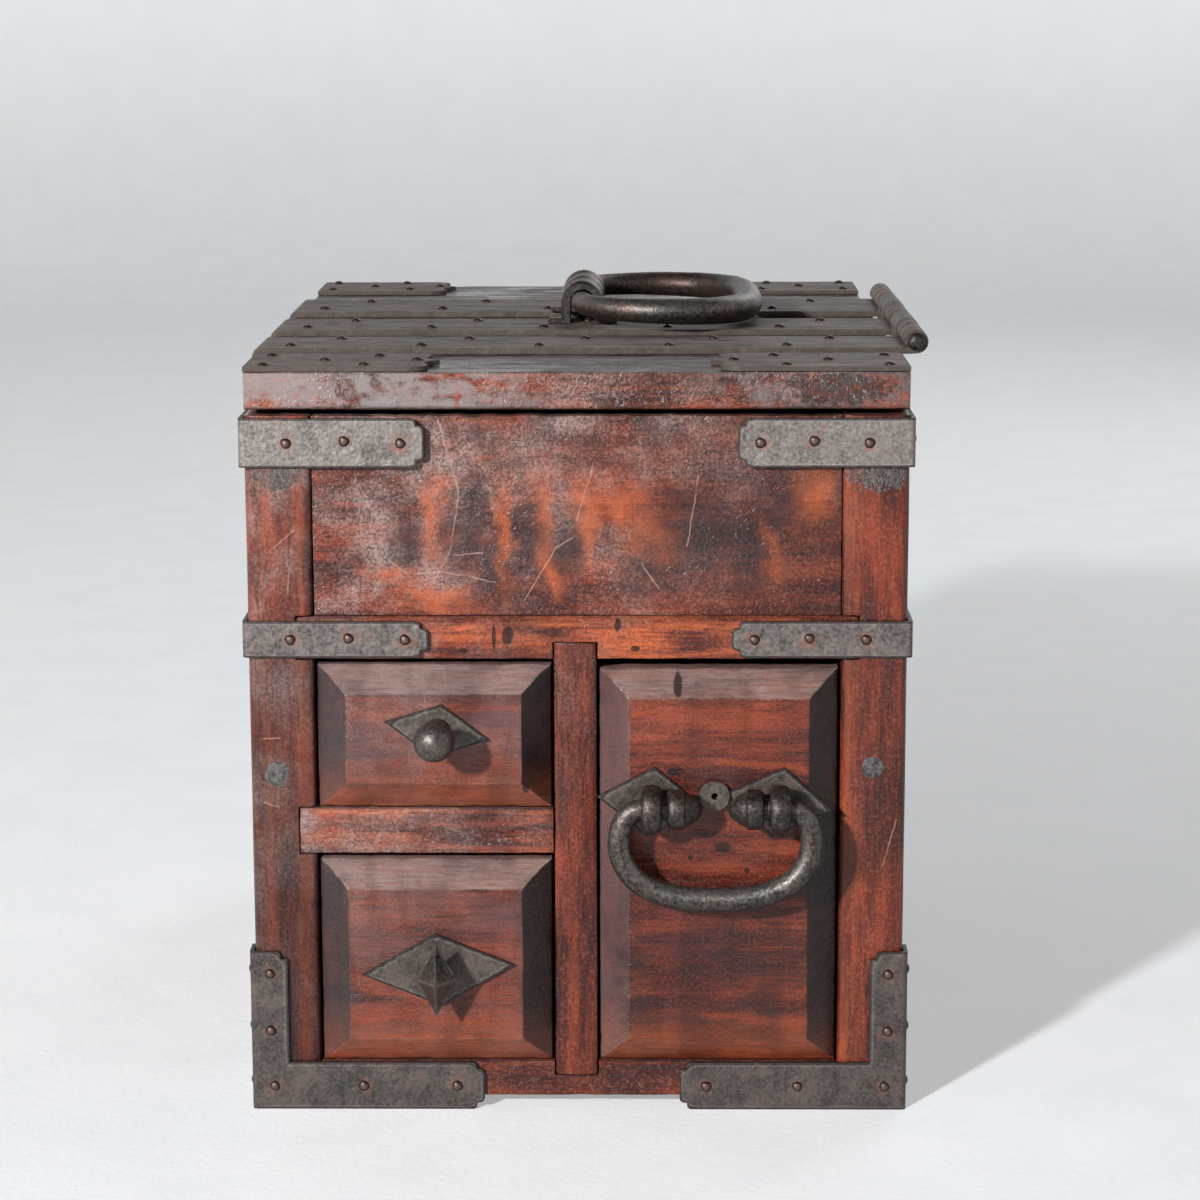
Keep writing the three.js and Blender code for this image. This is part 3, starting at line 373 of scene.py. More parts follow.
def bare_wood(name, grain, shift=(0, 0, 0)):
    """Unfinished softwood: pale and dark growth lines, handling marks and a little dirt."""
    material, place = new_finish(name)
    place = place.moved(shift)
    boards = place.times(ALONG[grain])
    growth = boards.times((1, 1, 0.6)).cloudy(5.5, 3, 0.5, 1.4)
    fibres = boards.cloudy(0.9, 5, 0.6)
    dirt = place.cloudy(34, 5, 0.6)
    colour = growth.between(0.38, 0.62).laid_over(BARE_PALE, BARE)
    colour = (fibres.between(0.45, 0.7) * 0.5).laid_over(colour, BARE_DARK)
    colour = (dirt.between(0.5, 0.75) * 0.55).laid_over(colour, BARE_DARK)
    colour = (place.attribute("wear") * 0.3).laid_over(colour, BARE_DARK)
    seal(colour, 0.62 + fibres * 0.2, fibres * 0.6 + growth * 0.4, 0.14)
    return material


long_bare = bare_wood("bare_wood_front_to_back", "y")
cross_bare = bare_wood("bare_wood_side_to_side", "x", shift=(15, 40, 9))
for board in ("bottom_board", "compartment_floor"):
    planed(board, cross_bare, pitch=14)

# The front frame: two corner posts, a rail above the drawers lapped over both, a lowest rail between
# them, the divider and the short rail. Red lacquer, with the posts' inner arrises rounded.


def from_middle(place, x, z, wide, high):
    """How far the front is from x and z, where 1 is wide to the side and high up or down."""
    across = (place.part(0) - x) * (1 / wide)
    up = (place.part(2) - z) * (1 / high)
    return (across * across + up * up).root()


def spot(place, x, z, wide, high, ragged=0.35):
    """1 inside a ragged round mark on the front, at x and z in millimetres."""
    rough = place.cloudy(2.6, 4, 0.6) - 0.5
    return 1 - (from_middle(place, x, z, wide, high) + rough * (2 * ragged)).between(0.8, 1.15)


def scratch(place, points, width=0.42):
    """1 along a soft line scratched through points on the front, each an x and a z."""
    found = None
    wander = place.cloudy(9, 2, 0.5) * 2.6 - 1.3
    place = place.moved(wander)
    for (x0, z0), (x1, z1) in zip(points, points[1:]):
        run, rise = x1 - x0, z1 - z0
        across, up = place.part(0) - x0, place.part(2) - z0
        share = across * (run / (run * run + rise * rise)) + up * (rise / (run * run + rise * rise))
        share = share.at_least(0).at_most(1)
        off_across, off_up = across - share * run, up - share * rise
        line = 1 - (off_across * off_across + off_up * off_up).between(0, width * width)
        found = found.at_least(line) if found else line
    return found * place.cloudy(12, 4, 0.7).between(0.2, 0.6)


CHIPPED = rgb(128, 126, 124)
PALE_LINE = rgb(196, 160, 146)


def post_marks(place, colour, height, roughness):
    """Lacquer knocked off the posts just under the upper straps, and a few fine scratches.

    Orange bands are partly the wood's streaks and partly a painted highlight where the rounded posts
    face the lamp, the right post's outer edge is painted in shade, and the left post is darker towards its foot.
    """
    low, right = corners("left_front_post")[0], corners("right_front_post")[0]
    strap_low = corners("upper_left_strap")[0].z
    for x, wide in ((low.x + 15, 12), (right.x + 15, 14)):
        crazed = place.times((1.6, 1, 0.8)).cloudy(1.6, 4, 0.65, 1.5)
        bare = spot(place, x, strap_low - 3, wide, 8, ragged=0.9) * crazed.between(0.3, 0.5)
        colour = (bare * 0.85).laid_over(colour, crazed.between(0.4, 0.62).laid_over(STAIN, CHIPPED))
        height = height + bare * (crazed * 2 - 1.4)
    banded = place.times((1, 1, 0.05)).cloudy(2.2, 4, 0.6)
    # Orange bands: the wood's own streaks, and a painted highlight where the rounded posts face the lamp.
    for x, wide in ((low.x + 24, 3), (low.x + 9, 3), (right.x + 5, 4)):
        streak_and_highlight = (place.part(0) - x) * (1 / wide)
        streak_and_highlight = (1 - (streak_and_highlight * streak_and_highlight).between(0.1, 1.6)) * banded.between(0.3, 0.7)
        colour = (streak_and_highlight * 0.22).laid_over(colour, GLOW)
    # Painted shade down the right post's outer edge, where its rounded face turns from the lamp.
    outer = (place.part(0) + low.x + 8).between(-3, 6) * banded.between(0.2, 0.6)
    colour = (outer * 0.55).laid_over(colour, STAIN)
    lower = (1 - place.part(2).between(205, 240)) * (1 - place.part(0).between(low.x + 40, low.x + 50))
    colour = (lower * (0.1 + banded * 0.7)).laid_over(colour, STAIN)
    middle = low.x + 22
    for line in (
        [(middle - 9, 268), (middle, 276)],
        [(middle - 3, 247), (middle - 2, 259)],
        [(low.x + 6, 178), (low.x + 14, 179)],
        [(low.x + 6, 148), (low.x + 13, 146)],
        [(-low.x - 20, 118), (-low.x - 14, 140)],
    ):
        colour = (scratch(place, line) * 0.4).laid_over(colour, PALE_LINE)
    return colour, height, roughness


post_lacquer = lacquer(
    "post_lacquer", "z", shift=(3, 0, 20), glow=0.3, stain=0.6, bloom_and_sheen_strength=0.6, crazed=0.2, marks=post_marks,
)
for post in ("left_front_post", "right_front_post"):
    planed(post, post_lacquer, edge=0.7, pitch=4, round_off=(0, 0.9), top_lost=1.5)


def rail_marks(place, colour, height, roughness):
    """Dark knots and dents in the rail above the drawers, and the short rail's rough lower half."""
    top = corners("middle_rail")[1].z
    for x, z, wide, tall in (
        (-36.5, top - 9, 2.6, 4.5), (-43, top - 10, 0.8, 6), (-57, top - 16, 1.8, 1.2),
        (14, top - 4, 1.4, 3), (22, top - 15, 2.2, 1.3),
    ):
        knot = spot(place, x, z, wide, tall)
        colour = (knot * 0.85).laid_over(colour, STAIN)
        height = height - knot * 0.6
    torn = place.times((0.6, 1, 1)).cloudy(1.9, 5, 0.7).between(0.47, 0.58)
    off_line = place.part(2) - (corners("drawer_shelf")[0].z + 9)
    lower = 1 - (off_line * off_line).between(10, 45)
    colour = (torn * lower * 0.08).laid_over(colour, STAIN)
    flecks = place.times((0.6, 1, 1)).moved((40, 0, 3)).cloudy(1.5, 4, 0.7).between(0.56, 0.64)
    colour = (flecks * lower * 0.6).laid_over(colour, GREY_BLOOM_AND_SHEEN)
    return colour, height - torn * lower * 0.35, roughness


rail_lacquer = lacquer(
    "rail_lacquer", "x", shift=(9, 3, 0), glow=1.1, stain=0.4, bloom_and_sheen_strength=0.5, crazed=0.3, marks=rail_marks,
)
planed("middle_rail", rail_lacquer, edge=0.7, round_off=(2, 0.6))
short_rail_lacquer = lacquer(
    "short_rail_lacquer", "x", shift=(2, 0, 8), glow=1.0, stain=0.0, bloom_and_sheen_strength=1.4, crazed=0.1, marks=rail_marks,
)
planed("drawer_shelf", short_rail_lacquer, edge=0.7, pitch=5, round_off=(2, 1.5))
lowest_lacquer = lacquer("lowest_rail_lacquer", "x", shift=(0, 0, 50), glow=0.25, stain=0.8, bloom_and_sheen_strength=0.6)
planed("bottom_rail", lowest_lacquer, edge=0.8)
divider_lacquer = lacquer(
    "divider_lacquer", "z", shift=(20, 0, 0), glow=0.3, stain=0.4, bloom_and_sheen_strength=0.3, crazed=0.2,
)
planed("drawer_divider", divider_lacquer, edge=0.7, pitch=6, round_off=(0, 1.5))

# The panel over the drawers: one wide board with flame-like dark bands under the lacquer, held a
# little behind the posts. It is dull and bloomed at the left, with a grey sheen also painted there
# towards the lamp, and covered in fine pale scratches.

FLAME = rgb(42, 30, 32)
SOOT = rgb(62, 46, 42)

# Where the dark flames are, and the glowing wood between them, as a maker would sketch them: how far
# right of the left post, how far above the middle rail, half the width and half the height.
FLAMES = (
    (43, 33, 8, 14), (70, 37, 10, 18), (75, 52, 5, 12), (83, 18, 8, 13), (99, 36, 7, 17), (117, 31, 7, 15),
    (153, 20, 14, 9), (180, 38, 24, 22), (200, 28, 9, 14), (214, 52, 9, 13),
)
GLOWING = (
    (36, 18, 11, 6), (58, 8, 16, 7), (56, 46, 5, 18), (88, 36, 4, 26), (104, 48, 5, 16), (109, 22, 5, 15),
    (125, 41, 6, 16), (141, 50, 9, 12), (157, 36, 11, 10), (209, 34, 4, 14), (228, 58, 9, 16),
)

# The long scratches: how far right of the panel's left edge and how far below its top each point is.
PANEL_SCRATCHES = (
    ((58, 4), (67, 37), (63, 64), (54, 81)),
    ((46, 75), (60, 74), (83, 79)),
    ((65, 66), (78, 65)),
    ((35, 68), (43, 75)),
    ((96, 88), (112, 62), (119, 58)),
    ((128, 24), (121, 50)),
    ((150, 70), (158, 82)),
    ((176, 30), (171, 62)),
)


def panel_marks(place, colour, height, roughness):
    """The dark flames, the bright places between them, and the long scratches."""
    low, high = corners("front_panel")
    edge, foot = corners("left_front_post")[1].x, corners("middle_rail")[1].z
    curls = {"Vector": place, "Scale": 1 / 16, "Detail": 3, "Roughness": 0.55}
    drift = place.node("ShaderNodeTexNoise", {}, curls, output=1).moved((-0.5, -0.5, -0.5))
    drifted = place.moved(drift.times((26, 0, 34)))
    ragged = place.times((0.6, 1, 1)).cloudy(3, 5, 0.7) - 0.5
    fine = place.cloudy(1.5, 1, 0.5) + place.times((0.1, 1, 1)).cloudy(1.4, 2, 0.5)
    fine = 0.45 + fine * 0.5
    for tint, strength, blots in ((GLOW, 0.6, GLOWING), (FLAME, 0.85, FLAMES)):
        found = None
        for x, z, wide, tall in blots:
            distance = from_middle(drifted, edge + x, foot + z, wide, tall) * 0.8
            blot = 1 - (distance + ragged * 0.8).between(0.0, 1.4)
            found = found + blot - found * blot if found else blot
        colour = (found * fine * strength).laid_over(colour, tint)
    deep = place.part(0).between(edge + 120, edge + 230) * place.cloudy(18, 4, 0.6).between(0.3, 0.6)
    colour = (deep * 0.45).laid_over(colour, STAIN)
    sooty = place.moved((13, 0, 44)).cloudy(16, 5, 0.6).between(0.46, 0.62)
    sooty = sooty * place.part(2).between(foot + 50, high.z)
    colour = (sooty * fine * 0.65).laid_over(colour, SOOT)
    for line in PANEL_SCRATCHES:
        points = [(low.x + x, high.z - z) for x, z in line]
        colour = (scratch(place, points) * 0.42).laid_over(colour, PALE_LINE)
    return colour, height, roughness


panel_lacquer = lacquer("panel_lacquer", "x", glow=0.3, stain=0.35, bloom_and_sheen_strength=0.8, crazed=0.5, marks=panel_marks)
planed("front_panel", panel_lacquer, edge=0.5, pitch=4, top_lost=1.9)

# The drawers: fronts cut as raised fields with broad bevels, lacquered; sides, backs and bottoms of
# bare thin boards. The field's edges are rubbed and the bevels are dull with bloom; the top bevels
# also carry a painted sheen, the left bevels a painted dark reflection and the right bevels painted shade.

LEFT_BEVEL_BLOOM_AND_REFLECTION = rgb(88, 66, 64)
LEFT_PAIR_BEVEL_BLOOM_AND_REFLECTION = rgb(52, 44, 44)
RIGHT_BEVEL_PAINTED_SHADE = rgb(30, 17, 15)
DRAWER_FILM = rgb(112, 84, 82)


def drawer_marks(place, colour, height, roughness):
    """Side bevels painted dark (the left ones as bloom and a dark reflection, the right ones as shade),
    a painted sheen on the top bevels, a redder foot to each field, and small dark stains.
    """
    low, high = corners("tall_drawer_front")
    dull = 0.65 + place.cloudy(9, 5, 0.6) * 0.4
    rubbed = place.times((0.12, 1, 1)).cloudy(1.4, 5, 0.65).between(0.35, 0.65)
    rubbed = rubbed * place.cloudy(14, 4, 0.6)
    left_pair = 1 - (place.part(0) - low.x).between(-22, -12)
    film = place.times((0.5, 1, 1)).cloudy(20, 5, 0.6).between(0.3, 0.6) * left_pair
    colour = (film * (0.3 + rubbed * 0.45)).laid_over(colour, DRAWER_FILM)
    # Upward-facing bevels are painted pale grey: bloom and a painted sheen of light from above.
    colour = (facing(place, 2).between(0.3, 0.6) * (0.34 + rubbed * 0.7)).laid_over(colour, GREY_BLOOM_AND_SHEEN)
    # Left-facing bevels are painted dull grey: bloom and a painted reflection of dark surroundings.
    left_bevel_bloom_and_reflection = left_pair.laid_over(LEFT_BEVEL_BLOOM_AND_REFLECTION, LEFT_PAIR_BEVEL_BLOOM_AND_REFLECTION)
    colour = ((-facing(place, 0)).between(0.15, 0.35) * dull).laid_over(colour, left_bevel_bloom_and_reflection)
    # Right-facing bevels, turned away from the lamp, are painted near black as shade.
    colour = (facing(place, 0).between(0.15, 0.35) * (dull + 0.1)).laid_over(colour, RIGHT_BEVEL_PAINTED_SHADE)
    rise = place.part(2) - low.z
    upper_rise = place.part(2) - corners("upper_drawer_front")[0].z
    upper_foot = (1 - upper_rise.between(6, 26)) * upper_rise.between(-2, 0)
    foot = 1 - rise.between(6, 34) + upper_foot * left_pair
    foot = foot * (0.1 + place.times((0.2, 1, 1)).cloudy(5, 4, 0.6))
    colour = (foot * 0.5 * (1 - abs(facing(place, 0)))).laid_over(colour, GLOW)
    streaks = place.times((0.4, 1, 1)).cloudy(8, 4, 0.55).between(0.4, 0.64)
    lowest = 1 - abs((rise - 42) * (1 / 36))
    lowest = lowest.between(0.1, 0.6) * (place.part(0) - low.x).between(0, 10)
    colour = (streaks * lowest * 0.5).laid_over(colour, FLAME)
    upright = place.times((1, 1, 0.25)).cloudy(14, 4, 0.55).between(0.42, 0.66)
    colour = (upright * 0.3).laid_over(colour, STAIN)
    for x, z, wide, tall in (
        (low.x + 57, low.z + 106, 4.0, 2.6), (low.x + 42, low.z + 101, 1.5, 1.2),
        (low.x + 68, low.z + 95, 1.4, 1.4), (low.x + 35, low.z + 142, 4.0, 2.2),
        (low.x + 36, high.z - 8, 2.0, 5.5), (-28.6, 157, 1.6, 3.0),
    ):
        mark = spot(place, x, z, wide, tall)
        colour = (mark * 0.8).laid_over(colour, STAIN)
    return colour, height, roughness


drawer_lacquer = lacquer(
    "drawer_lacquer", "x", shift=(0, 0, 5), glow=0.3, stain=0.3, bloom_and_sheen_strength=0.6, crazed=0.15, marks=drawer_marks,
)
for drawer in ("upper_drawer", "lower_drawer", "tall_drawer"):
    planed(f"{drawer}_front", drawer_lacquer, edge=1.3, pitch=4, chips=0.9, top_lost=1.5)
    for side in ("left_side", "right_side", "bottom"):
        planed(f"{drawer}_{side}", long_bare, edge=0.5, pitch=16)
    planed(f"{drawer}_back", cross_bare, edge=0.5, pitch=16)

# The lid: one thick board of lacquered wood that closes the compartment over the drawers. Its front
# edge is bloomed grey except at the middle, and its top is worn grey between the irons nailed to it.

LID_TOP_DARK = rgb(32, 26, 25)
LID_TOP_PALE = rgb(104, 97, 94)
LID_EDGE_PALE = rgb(138, 128, 126)
LID_EDGE_DULL = rgb(92, 84, 83)
LID_CRACKLE_PALE_AND_GLINTS = rgb(170, 168, 168)
LID_SEAM = rgb(150, 62, 48)


def lid_marks(place, colour, height, roughness):
    """Grey wear over the whole top, pale rubbing at the ends of the front edge, and pale crack lines
    in its crackled patches that are partly painted glints.
    """
    low, high = corners("lid_board")
    top = (place.part(2) - (high.z - 1.2)).between(0, 1)
    streaks = place.times((0.14, 1, 1)).cloudy(7, 6, 0.65)
    weathered = (streaks * 0.6 + place.cloudy(12, 5, 0.65) * 0.4).between(0.36, 0.64)
    colour = (top * 0.9).laid_over(colour, weathered.laid_over(LID_TOP_DARK, LID_TOP_PALE))
    off_middle = abs((place.part(0) - (low.x + 172)) * (1 / 150))
    mottle = place.times((0.6, 1, 1)).cloudy(7, 5, 0.65)
    dull = off_middle.between(0.1, 0.55) * (1 - top) * mottle.between(0.38, 0.56)
    greyed = (place.part(0) - high.x).between(-100, -40).laid_over(LID_EDGE_PALE, LID_EDGE_DULL)
    patchy = 0.5 + place.times((0.5, 1, 1)).cloudy(2.4, 4, 0.65) * 0.6
    colour = (dull * patchy).laid_over(colour, greyed)
    crazed = place.times((1.4, 1, 0.7)).cloudy(1.7, 4, 0.65, 1.4)
    worst = spot(place, low.x + 178, low.z + 3.5, 22, 3.2, ragged=0.8)
    worst = worst + spot(place, high.x - 34, low.z + 10, 26, 7.5, ragged=0.9)
    colour = (worst * crazed.between(0.34, 0.56) * 0.75).laid_over(colour, STAIN)
    # Pale lines in the crackle: cracked lacquer, and painted glints of the lamp on its edges.
    colour = (worst * crazed.between(0.56, 0.66) * 0.8).laid_over(colour, LID_CRACKLE_PALE_AND_GLINTS)
    seam = scratch(place, [(low.x + 97, low.z), (low.x + 98, high.z)], width=1.6)
    colour = (seam * (1 - top) * 0.6).laid_over(colour, LID_SEAM)
    grubby = 1 - (place.part(2) - low.z).between(0.3, 2.6)
    colour = (grubby * mottle.between(0.4, 0.6) * 0.8).laid_over(colour, STAIN)
    polished = place.moved((30, 8, 0)).times((0.3, 1, 1)).cloudy(11, 4, 0.6).between(0.42, 0.6)
    under = 1 - (place.part(2) - low.z).between(0.1, 1)
    roughness = roughness + top * (0.2 - polished * 0.32) + under * 0.25
    height = height * (1 - under * 0.8) + worst * (crazed * 2 - 1)
    return colour, height, roughness


lid_lacquer = lacquer(
    "lid_lacquer", "x", shift=(11, 0, 33), glow=0.5, stain=0.6, bloom_and_sheen_strength=0.5, crazed=0.8, marks=lid_marks,
)
planed("lid_board", lid_lacquer, edge=0.6, pitch=8)

# The corner irons: hammered sheet iron bent round each corner and nailed, with stepped ends. Upper
# and middle straps clasp the posts, and the foot brackets run up the corner and along the floor.

IRON_BROWN = rgb(96, 78, 70)
IRON_PAINTED_HIGHLIGHT = rgb(196, 192, 188)
RUST = rgb(140, 84, 60)


def forged_iron(
    name, skin, dark, rim, rusty=0.6, streaked=0.0, metallic=0.35, gloss=0.5, shift=(0, 0, 0),
):
    """Hammered iron sheet: a dark skin speckled brown and grey, rusty round its nails.

    rim is the colour of its filed edges and side walls, rusty and also painted dark there as shade,
    and streaked how far the speckles are drawn out along x.
    """
    material, place = new_finish(name)
    place = place.moved(shift)
    speckle = place.cloudy(1.6, 2, 0.6)
    blotch = place.cloudy(8, 4, 0.6)
    patch = place.moved((5, 50, 9)).cloudy(26, 3, 0.5)
    tone = speckle * 0.42 + blotch * 0.36 + patch * 0.22
    if streaked:
        streaks = place.times((0.3, 1, 1)).cloudy(9, 5, 0.65)
        tone = tone * (1 - streaked) + streaks * streaked
    colour = tone.between(0.32 + streaked * 0.06, 0.66 - streaked * 0.02).laid_over(dark, skin)
    colour = (blotch.between(0.46, 0.66) * patch.between(0.4, 0.6) * 0.6).laid_over(colour, IRON_BROWN)
    spots = place.moved((70, 3, 31)).cloudy(3.2, 4, 0.6).between(0.6, 0.7)
    colour = (spots * 0.5 * rusty).laid_over(colour, RUST)
    dented = place.moved((2, 60, 8))
    colour = (dented.cloudy(4.5, 4, 0.6).between(0.58, 0.7) * 0.45).laid_over(colour, dark)
    colour = (place.attribute("groove") * 0.8).laid_over(colour, dark)
    stained = place.attribute("rust") * 0.5 + place.moved((1, 8, 2)).cloudy(5, 5, 0.65)
    stained = stained.between(0.7, 0.95)
    colour = (stained * rusty).laid_over(colour, RUST)
    wear = place.attribute("wear") + speckle * 0.3 - 0.15
    # A faint pale line just inside each edge is a painted highlight.
    painted_highlight_line = wear.between(0.25, 0.45) * (1 - wear.between(0.45, 0.6))
    colour = (painted_highlight_line * 0.1).laid_over(colour, IRON_PAINTED_HIGHLIGHT)
    # Edges and side walls take the rim colour: rust, and painted shade on the walls.
    colour = (wear.between(0.5, 0.72) * (0.45 + speckle * 0.9)).laid_over(colour, rim)
    height = tone * 0.6 + blotch * 0.3 + dented.cloudy(4.5, 2, 0.5) * 0.6
    roughness = speckle * 0.24 + stained * 0.15 + (0.38 + streaked * 0.2)
    seal(colour, roughness, height, 0.8, metallic=metallic - stained * metallic * 0.7, gloss=gloss)
    return material


NAIL_DARK = rgb(38, 30, 28)
NAIL_BRIGHT = rgb(112, 88, 80)


def nail_iron(name):
    """Nail heads: dark round the rim, brown, and rubbed bright on the crown."""
    material, place = new_finish(name)
    speckle = place.cloudy(0.8, 3, 0.6)
    crown = place.attribute("wear")
    colour = (crown + speckle * 0.5).between(0.5, 1.5).laid_over(NAIL_DARK, NAIL_BRIGHT)
    seal(colour, 0.34 + speckle * 0.2, speckle, 0.1, metallic=0.6)
    return material


RIM_RUST_AND_SHADE = rgb(46, 37, 34)
upper_iron = forged_iron(
    "upper_strap_iron", skin=rgb(146, 139, 134), dark=rgb(74, 67, 64), rim=RIM_RUST_AND_SHADE, rusty=0.55,
)
middle_iron = forged_iron(
    "middle_strap_iron", skin=rgb(124, 115, 111), dark=rgb(44, 39, 38), rim=RIM_RUST_AND_SHADE, rusty=0.5, shift=(9, 4, 0),
)
lower_iron = forged_iron(
    "foot_iron", skin=rgb(94, 86, 82), dark=rgb(42, 37, 35), rim=RIM_RUST_AND_SHADE, rusty=0.35, shift=(30, 0, 12),
)
nail_finish = nail_iron("nail_iron")


def arc(centre, radius, start, end, steps):
    """Points round a circle, from one angle to another in degrees."""
    turns = [math.radians(start + (end - start) * step / steps) for step in range(steps + 1)]
    return [(centre[0] + radius * math.cos(a), centre[1] + radius * math.sin(a)) for a in turns]


class Sheet:
    """Where a flat sheet's points go when it is bent along a route; v runs across the route."""

    def __init__(self, route, across, outward=1):
        self.route = [Vector(point) for point in route]
        self.across, self.outward = Vector(across), outward
        self.lengths = [0.0]
        for before, after in zip(self.route, self.route[1:]):
            self.lengths.append(self.lengths[-1] + (after - before).length)
        self.bends = self.lengths[1:-1]

    def normal(self, index):
        tangent = (self.route[index + 1] - self.route[index]).normalized()
        return self.across.cross(tangent) * self.outward

    def at(self, u, v, w):
        last = len(self.route) - 2
        index = next((i for i in range(last) if u <= self.lengths[i + 1] + 1e-4), last)
        span = self.lengths[index + 1] - self.lengths[index]
        share = (u - self.lengths[index]) / span
        place = self.route[index].lerp(self.route[index + 1], share)
        normal = self.normal(index)
        if index < last and abs(u - self.lengths[index + 1]) < 1e-3:
            normal = (normal + self.normal(index + 1)).normalized()
        return place + self.across * v + normal * w


def hand_cut(outline, pitch=2.4, wander=0.16):
    """The outline with points close together, each pulled in a little as shears and a file leave it."""
    points = []
    for start, end in zip(outline, outline[1:] + outline[:1]):
        start, end = Vector(start), Vector(end)
        steps = max(int((end - start).length / pitch), 1)
        points += [start.lerp(end, step / steps) for step in range(steps)]
    cut = []
    for before, point, after in zip(points[-1:] + points, points, points[1:] + points[:1]):
        inward = Vector((before.y - after.y, after.x - before.x)).normalized()
        pull = wander * (0.5 + 0.5 * noise.noise(Vector((point.x / 7, point.y / 7, 3))))
        cut.append(point + inward * pull)
    return cut


def join_rings(shape, rings, closed=False):
    """Faces between each ring of points and the next; a ring of one point makes a tip."""
    made = []
    for lower, upper in zip(rings, rings[1:] + (rings[:1] if closed else [])):
        count = max(len(lower), len(upper))
        for side in range(count):
            after = (side + 1) % count
            loop = [lower[side % len(lower)], lower[after % len(lower)]]
            loop += [upper[after % len(upper)], upper[side % len(upper)]]
            made.append(shape.faces.new(list(dict.fromkeys(loop))))
    return made


NAIL_RADIUS = 2.6
NAIL_HEIGHT = 1.6
NAIL_SUNK = 0.15
NAIL_SIDES = 14


def nail_head(shape, wear, u, v, base, draws):
    """A hand-made domed nail head, sunk a little in the sheet and never quite upright."""
    size = NAIL_RADIUS * draws.uniform(0.9, 1.0)
    lean = Vector((draws.uniform(-0.12, 0.12), draws.uniform(-0.12, 0.12)))
    tall = (NAIL_HEIGHT + 0.1) * draws.uniform(0.88, 1.0)
    rings = []
    for turn, ring_wear in ((-8, 0), (0, 0), (22, 0.25), (45, 0.6), (68, 0.9)):
        across, up = size * math.cos(math.radians(turn)), tall * math.sin(math.radians(turn))
        ring = []
        for side in range(NAIL_SIDES):
            angle = 2 * math.pi * side / NAIL_SIDES
            out = across * (1 + 0.06 * math.sin(3 * angle + u))
            place = (u + out * math.cos(angle) + lean.x * up, v + out * math.sin(angle) + lean.y * up)
            vert = shape.verts.new((*place, base + up))
            vert[wear] = ring_wear
            ring.append(vert)
        rings.append(ring)
    crown = shape.verts.new((u + lean.x * tall, v + lean.y * tall, base + tall))
    crown[wear] = 1
    for face in [shape.faces.new(rings[0])] + join_rings(shape, rings + [[crown]]):
        face.material_index = 1


RUST_REACH = 9
RIM_REACH = 2.2
GROOVE_WIDTH = 1.1
GROOVE_DEPTH = 0.9


def forge(
    node, iron, outline, thickness, sheet, nails=(), pitch=3.0, edge=0.4, hammer=0.2, thin=None, rings=(),
    wander=0.16,
):
    """A piece of nailed sheet iron: cut flat to its outline, hammered, then bent along its route.

    thin gives how thin it is drawn along the route, and rings are grooves filed round its roll.
    """
    draws = random.Random(node)
    rim = hand_cut(outline, wander=wander)
    shape = bmesh.new()
    wear = shape.verts.layers.float.new("wear")
    rust = shape.verts.layers.float.new("rust")
    groove = shape.verts.layers.float.new("groove")
    shape.faces.new([shape.verts.new((*point, 0)) for point in rim])
    for axis in (0, 1):
        low, high = min(point[axis] for point in rim), max(point[axis] for point in rim)
        places = stations(low, high, pitch, near=(0.6, 1.8))
        grooves = [ring + side for ring in rings for side in (-2, -1, 0, 1, 2)]
        slice_up(shape, axis, places + (sheet.bends if axis == 0 else grooves))
    risen = bmesh.ops.extrude_face_region(shape, geom=shape.faces[:], use_keep_orig=True)
    for vert in risen["geom"]:
        if isinstance(vert, bmesh.types.BMVert):
            vert.co.z = thickness
    bmesh.ops.recalc_face_normals(shape, faces=shape.faces)
    shape.normal_update()
    upper = [
        e for e in shape.edges
        if all(vert.co.z > thickness - 0.01 for vert in e.verts)
        and any(abs(face.normal.z) < 0.5 for face in e.link_faces)
    ]
    bmesh.ops.bevel(
        shape, geom=upper, offset=edge, offset_type="OFFSET", segments=2, profile=0.55,
        affect="EDGES", clamp_overlap=True,
    )
    cut = KDTree(len(rim) * 6)
    for index, (start, end) in enumerate(zip(rim, rim[1:] + rim[:1])):
        for step in range(6):
            cut.insert((*start.lerp(end, step / 6), 0), index)
    cut.balance()
    for vert in shape.verts:
        u, v, w = vert.co
        # Nearness to the cut edge, which the finish paints as a rusty rim, painted shade on the walls and a
        # painted highlight line.
        vert[wear] = max(1 - cut.find((u, v, 0))[2] / RIM_REACH, 0)
        for nail_u, nail_v in nails:
            gap = math.hypot(u - nail_u, v - nail_v)
            vert[rust] = max(vert[rust], 1 - gap / RUST_REACH)
        dents = noise.noise(Vector((u / 6, v / 6, 1))) + 0.5 * noise.noise(Vector((u / 2.4, v / 2.4, 5)))
        if w > thickness * 0.5:
            vert.co.z -= hammer * (0.5 + 0.33 * dents)
        elif thin and thin(u) < 0.95:
            vert[groove] = max([math.exp(-((v - ring) / GROOVE_WIDTH) ** 2) for ring in rings] + [0])
            vert.co.z += GROOVE_DEPTH * vert[groove] + hammer * (0.5 + 0.33 * dents)
    for nail_u, nail_v in nails:
        nail_head(shape, wear, nail_u, nail_v, thickness - NAIL_SUNK, draws)
    for vert in shape.verts:
        u, v, w = vert.co
        vert.co = sheet.at(u, v, w * thin(u) if thin else w)
    stand_for(node, shape, [iron, nail_finish], crease=40)


IRON_THICKNESS = 2.0
SEAM = 0.15
NOSE = 3.6
NOSE_ROUND = 2.4
STEP = 3.2
SHOULDER = 2
CORNER_BEND = 0.5


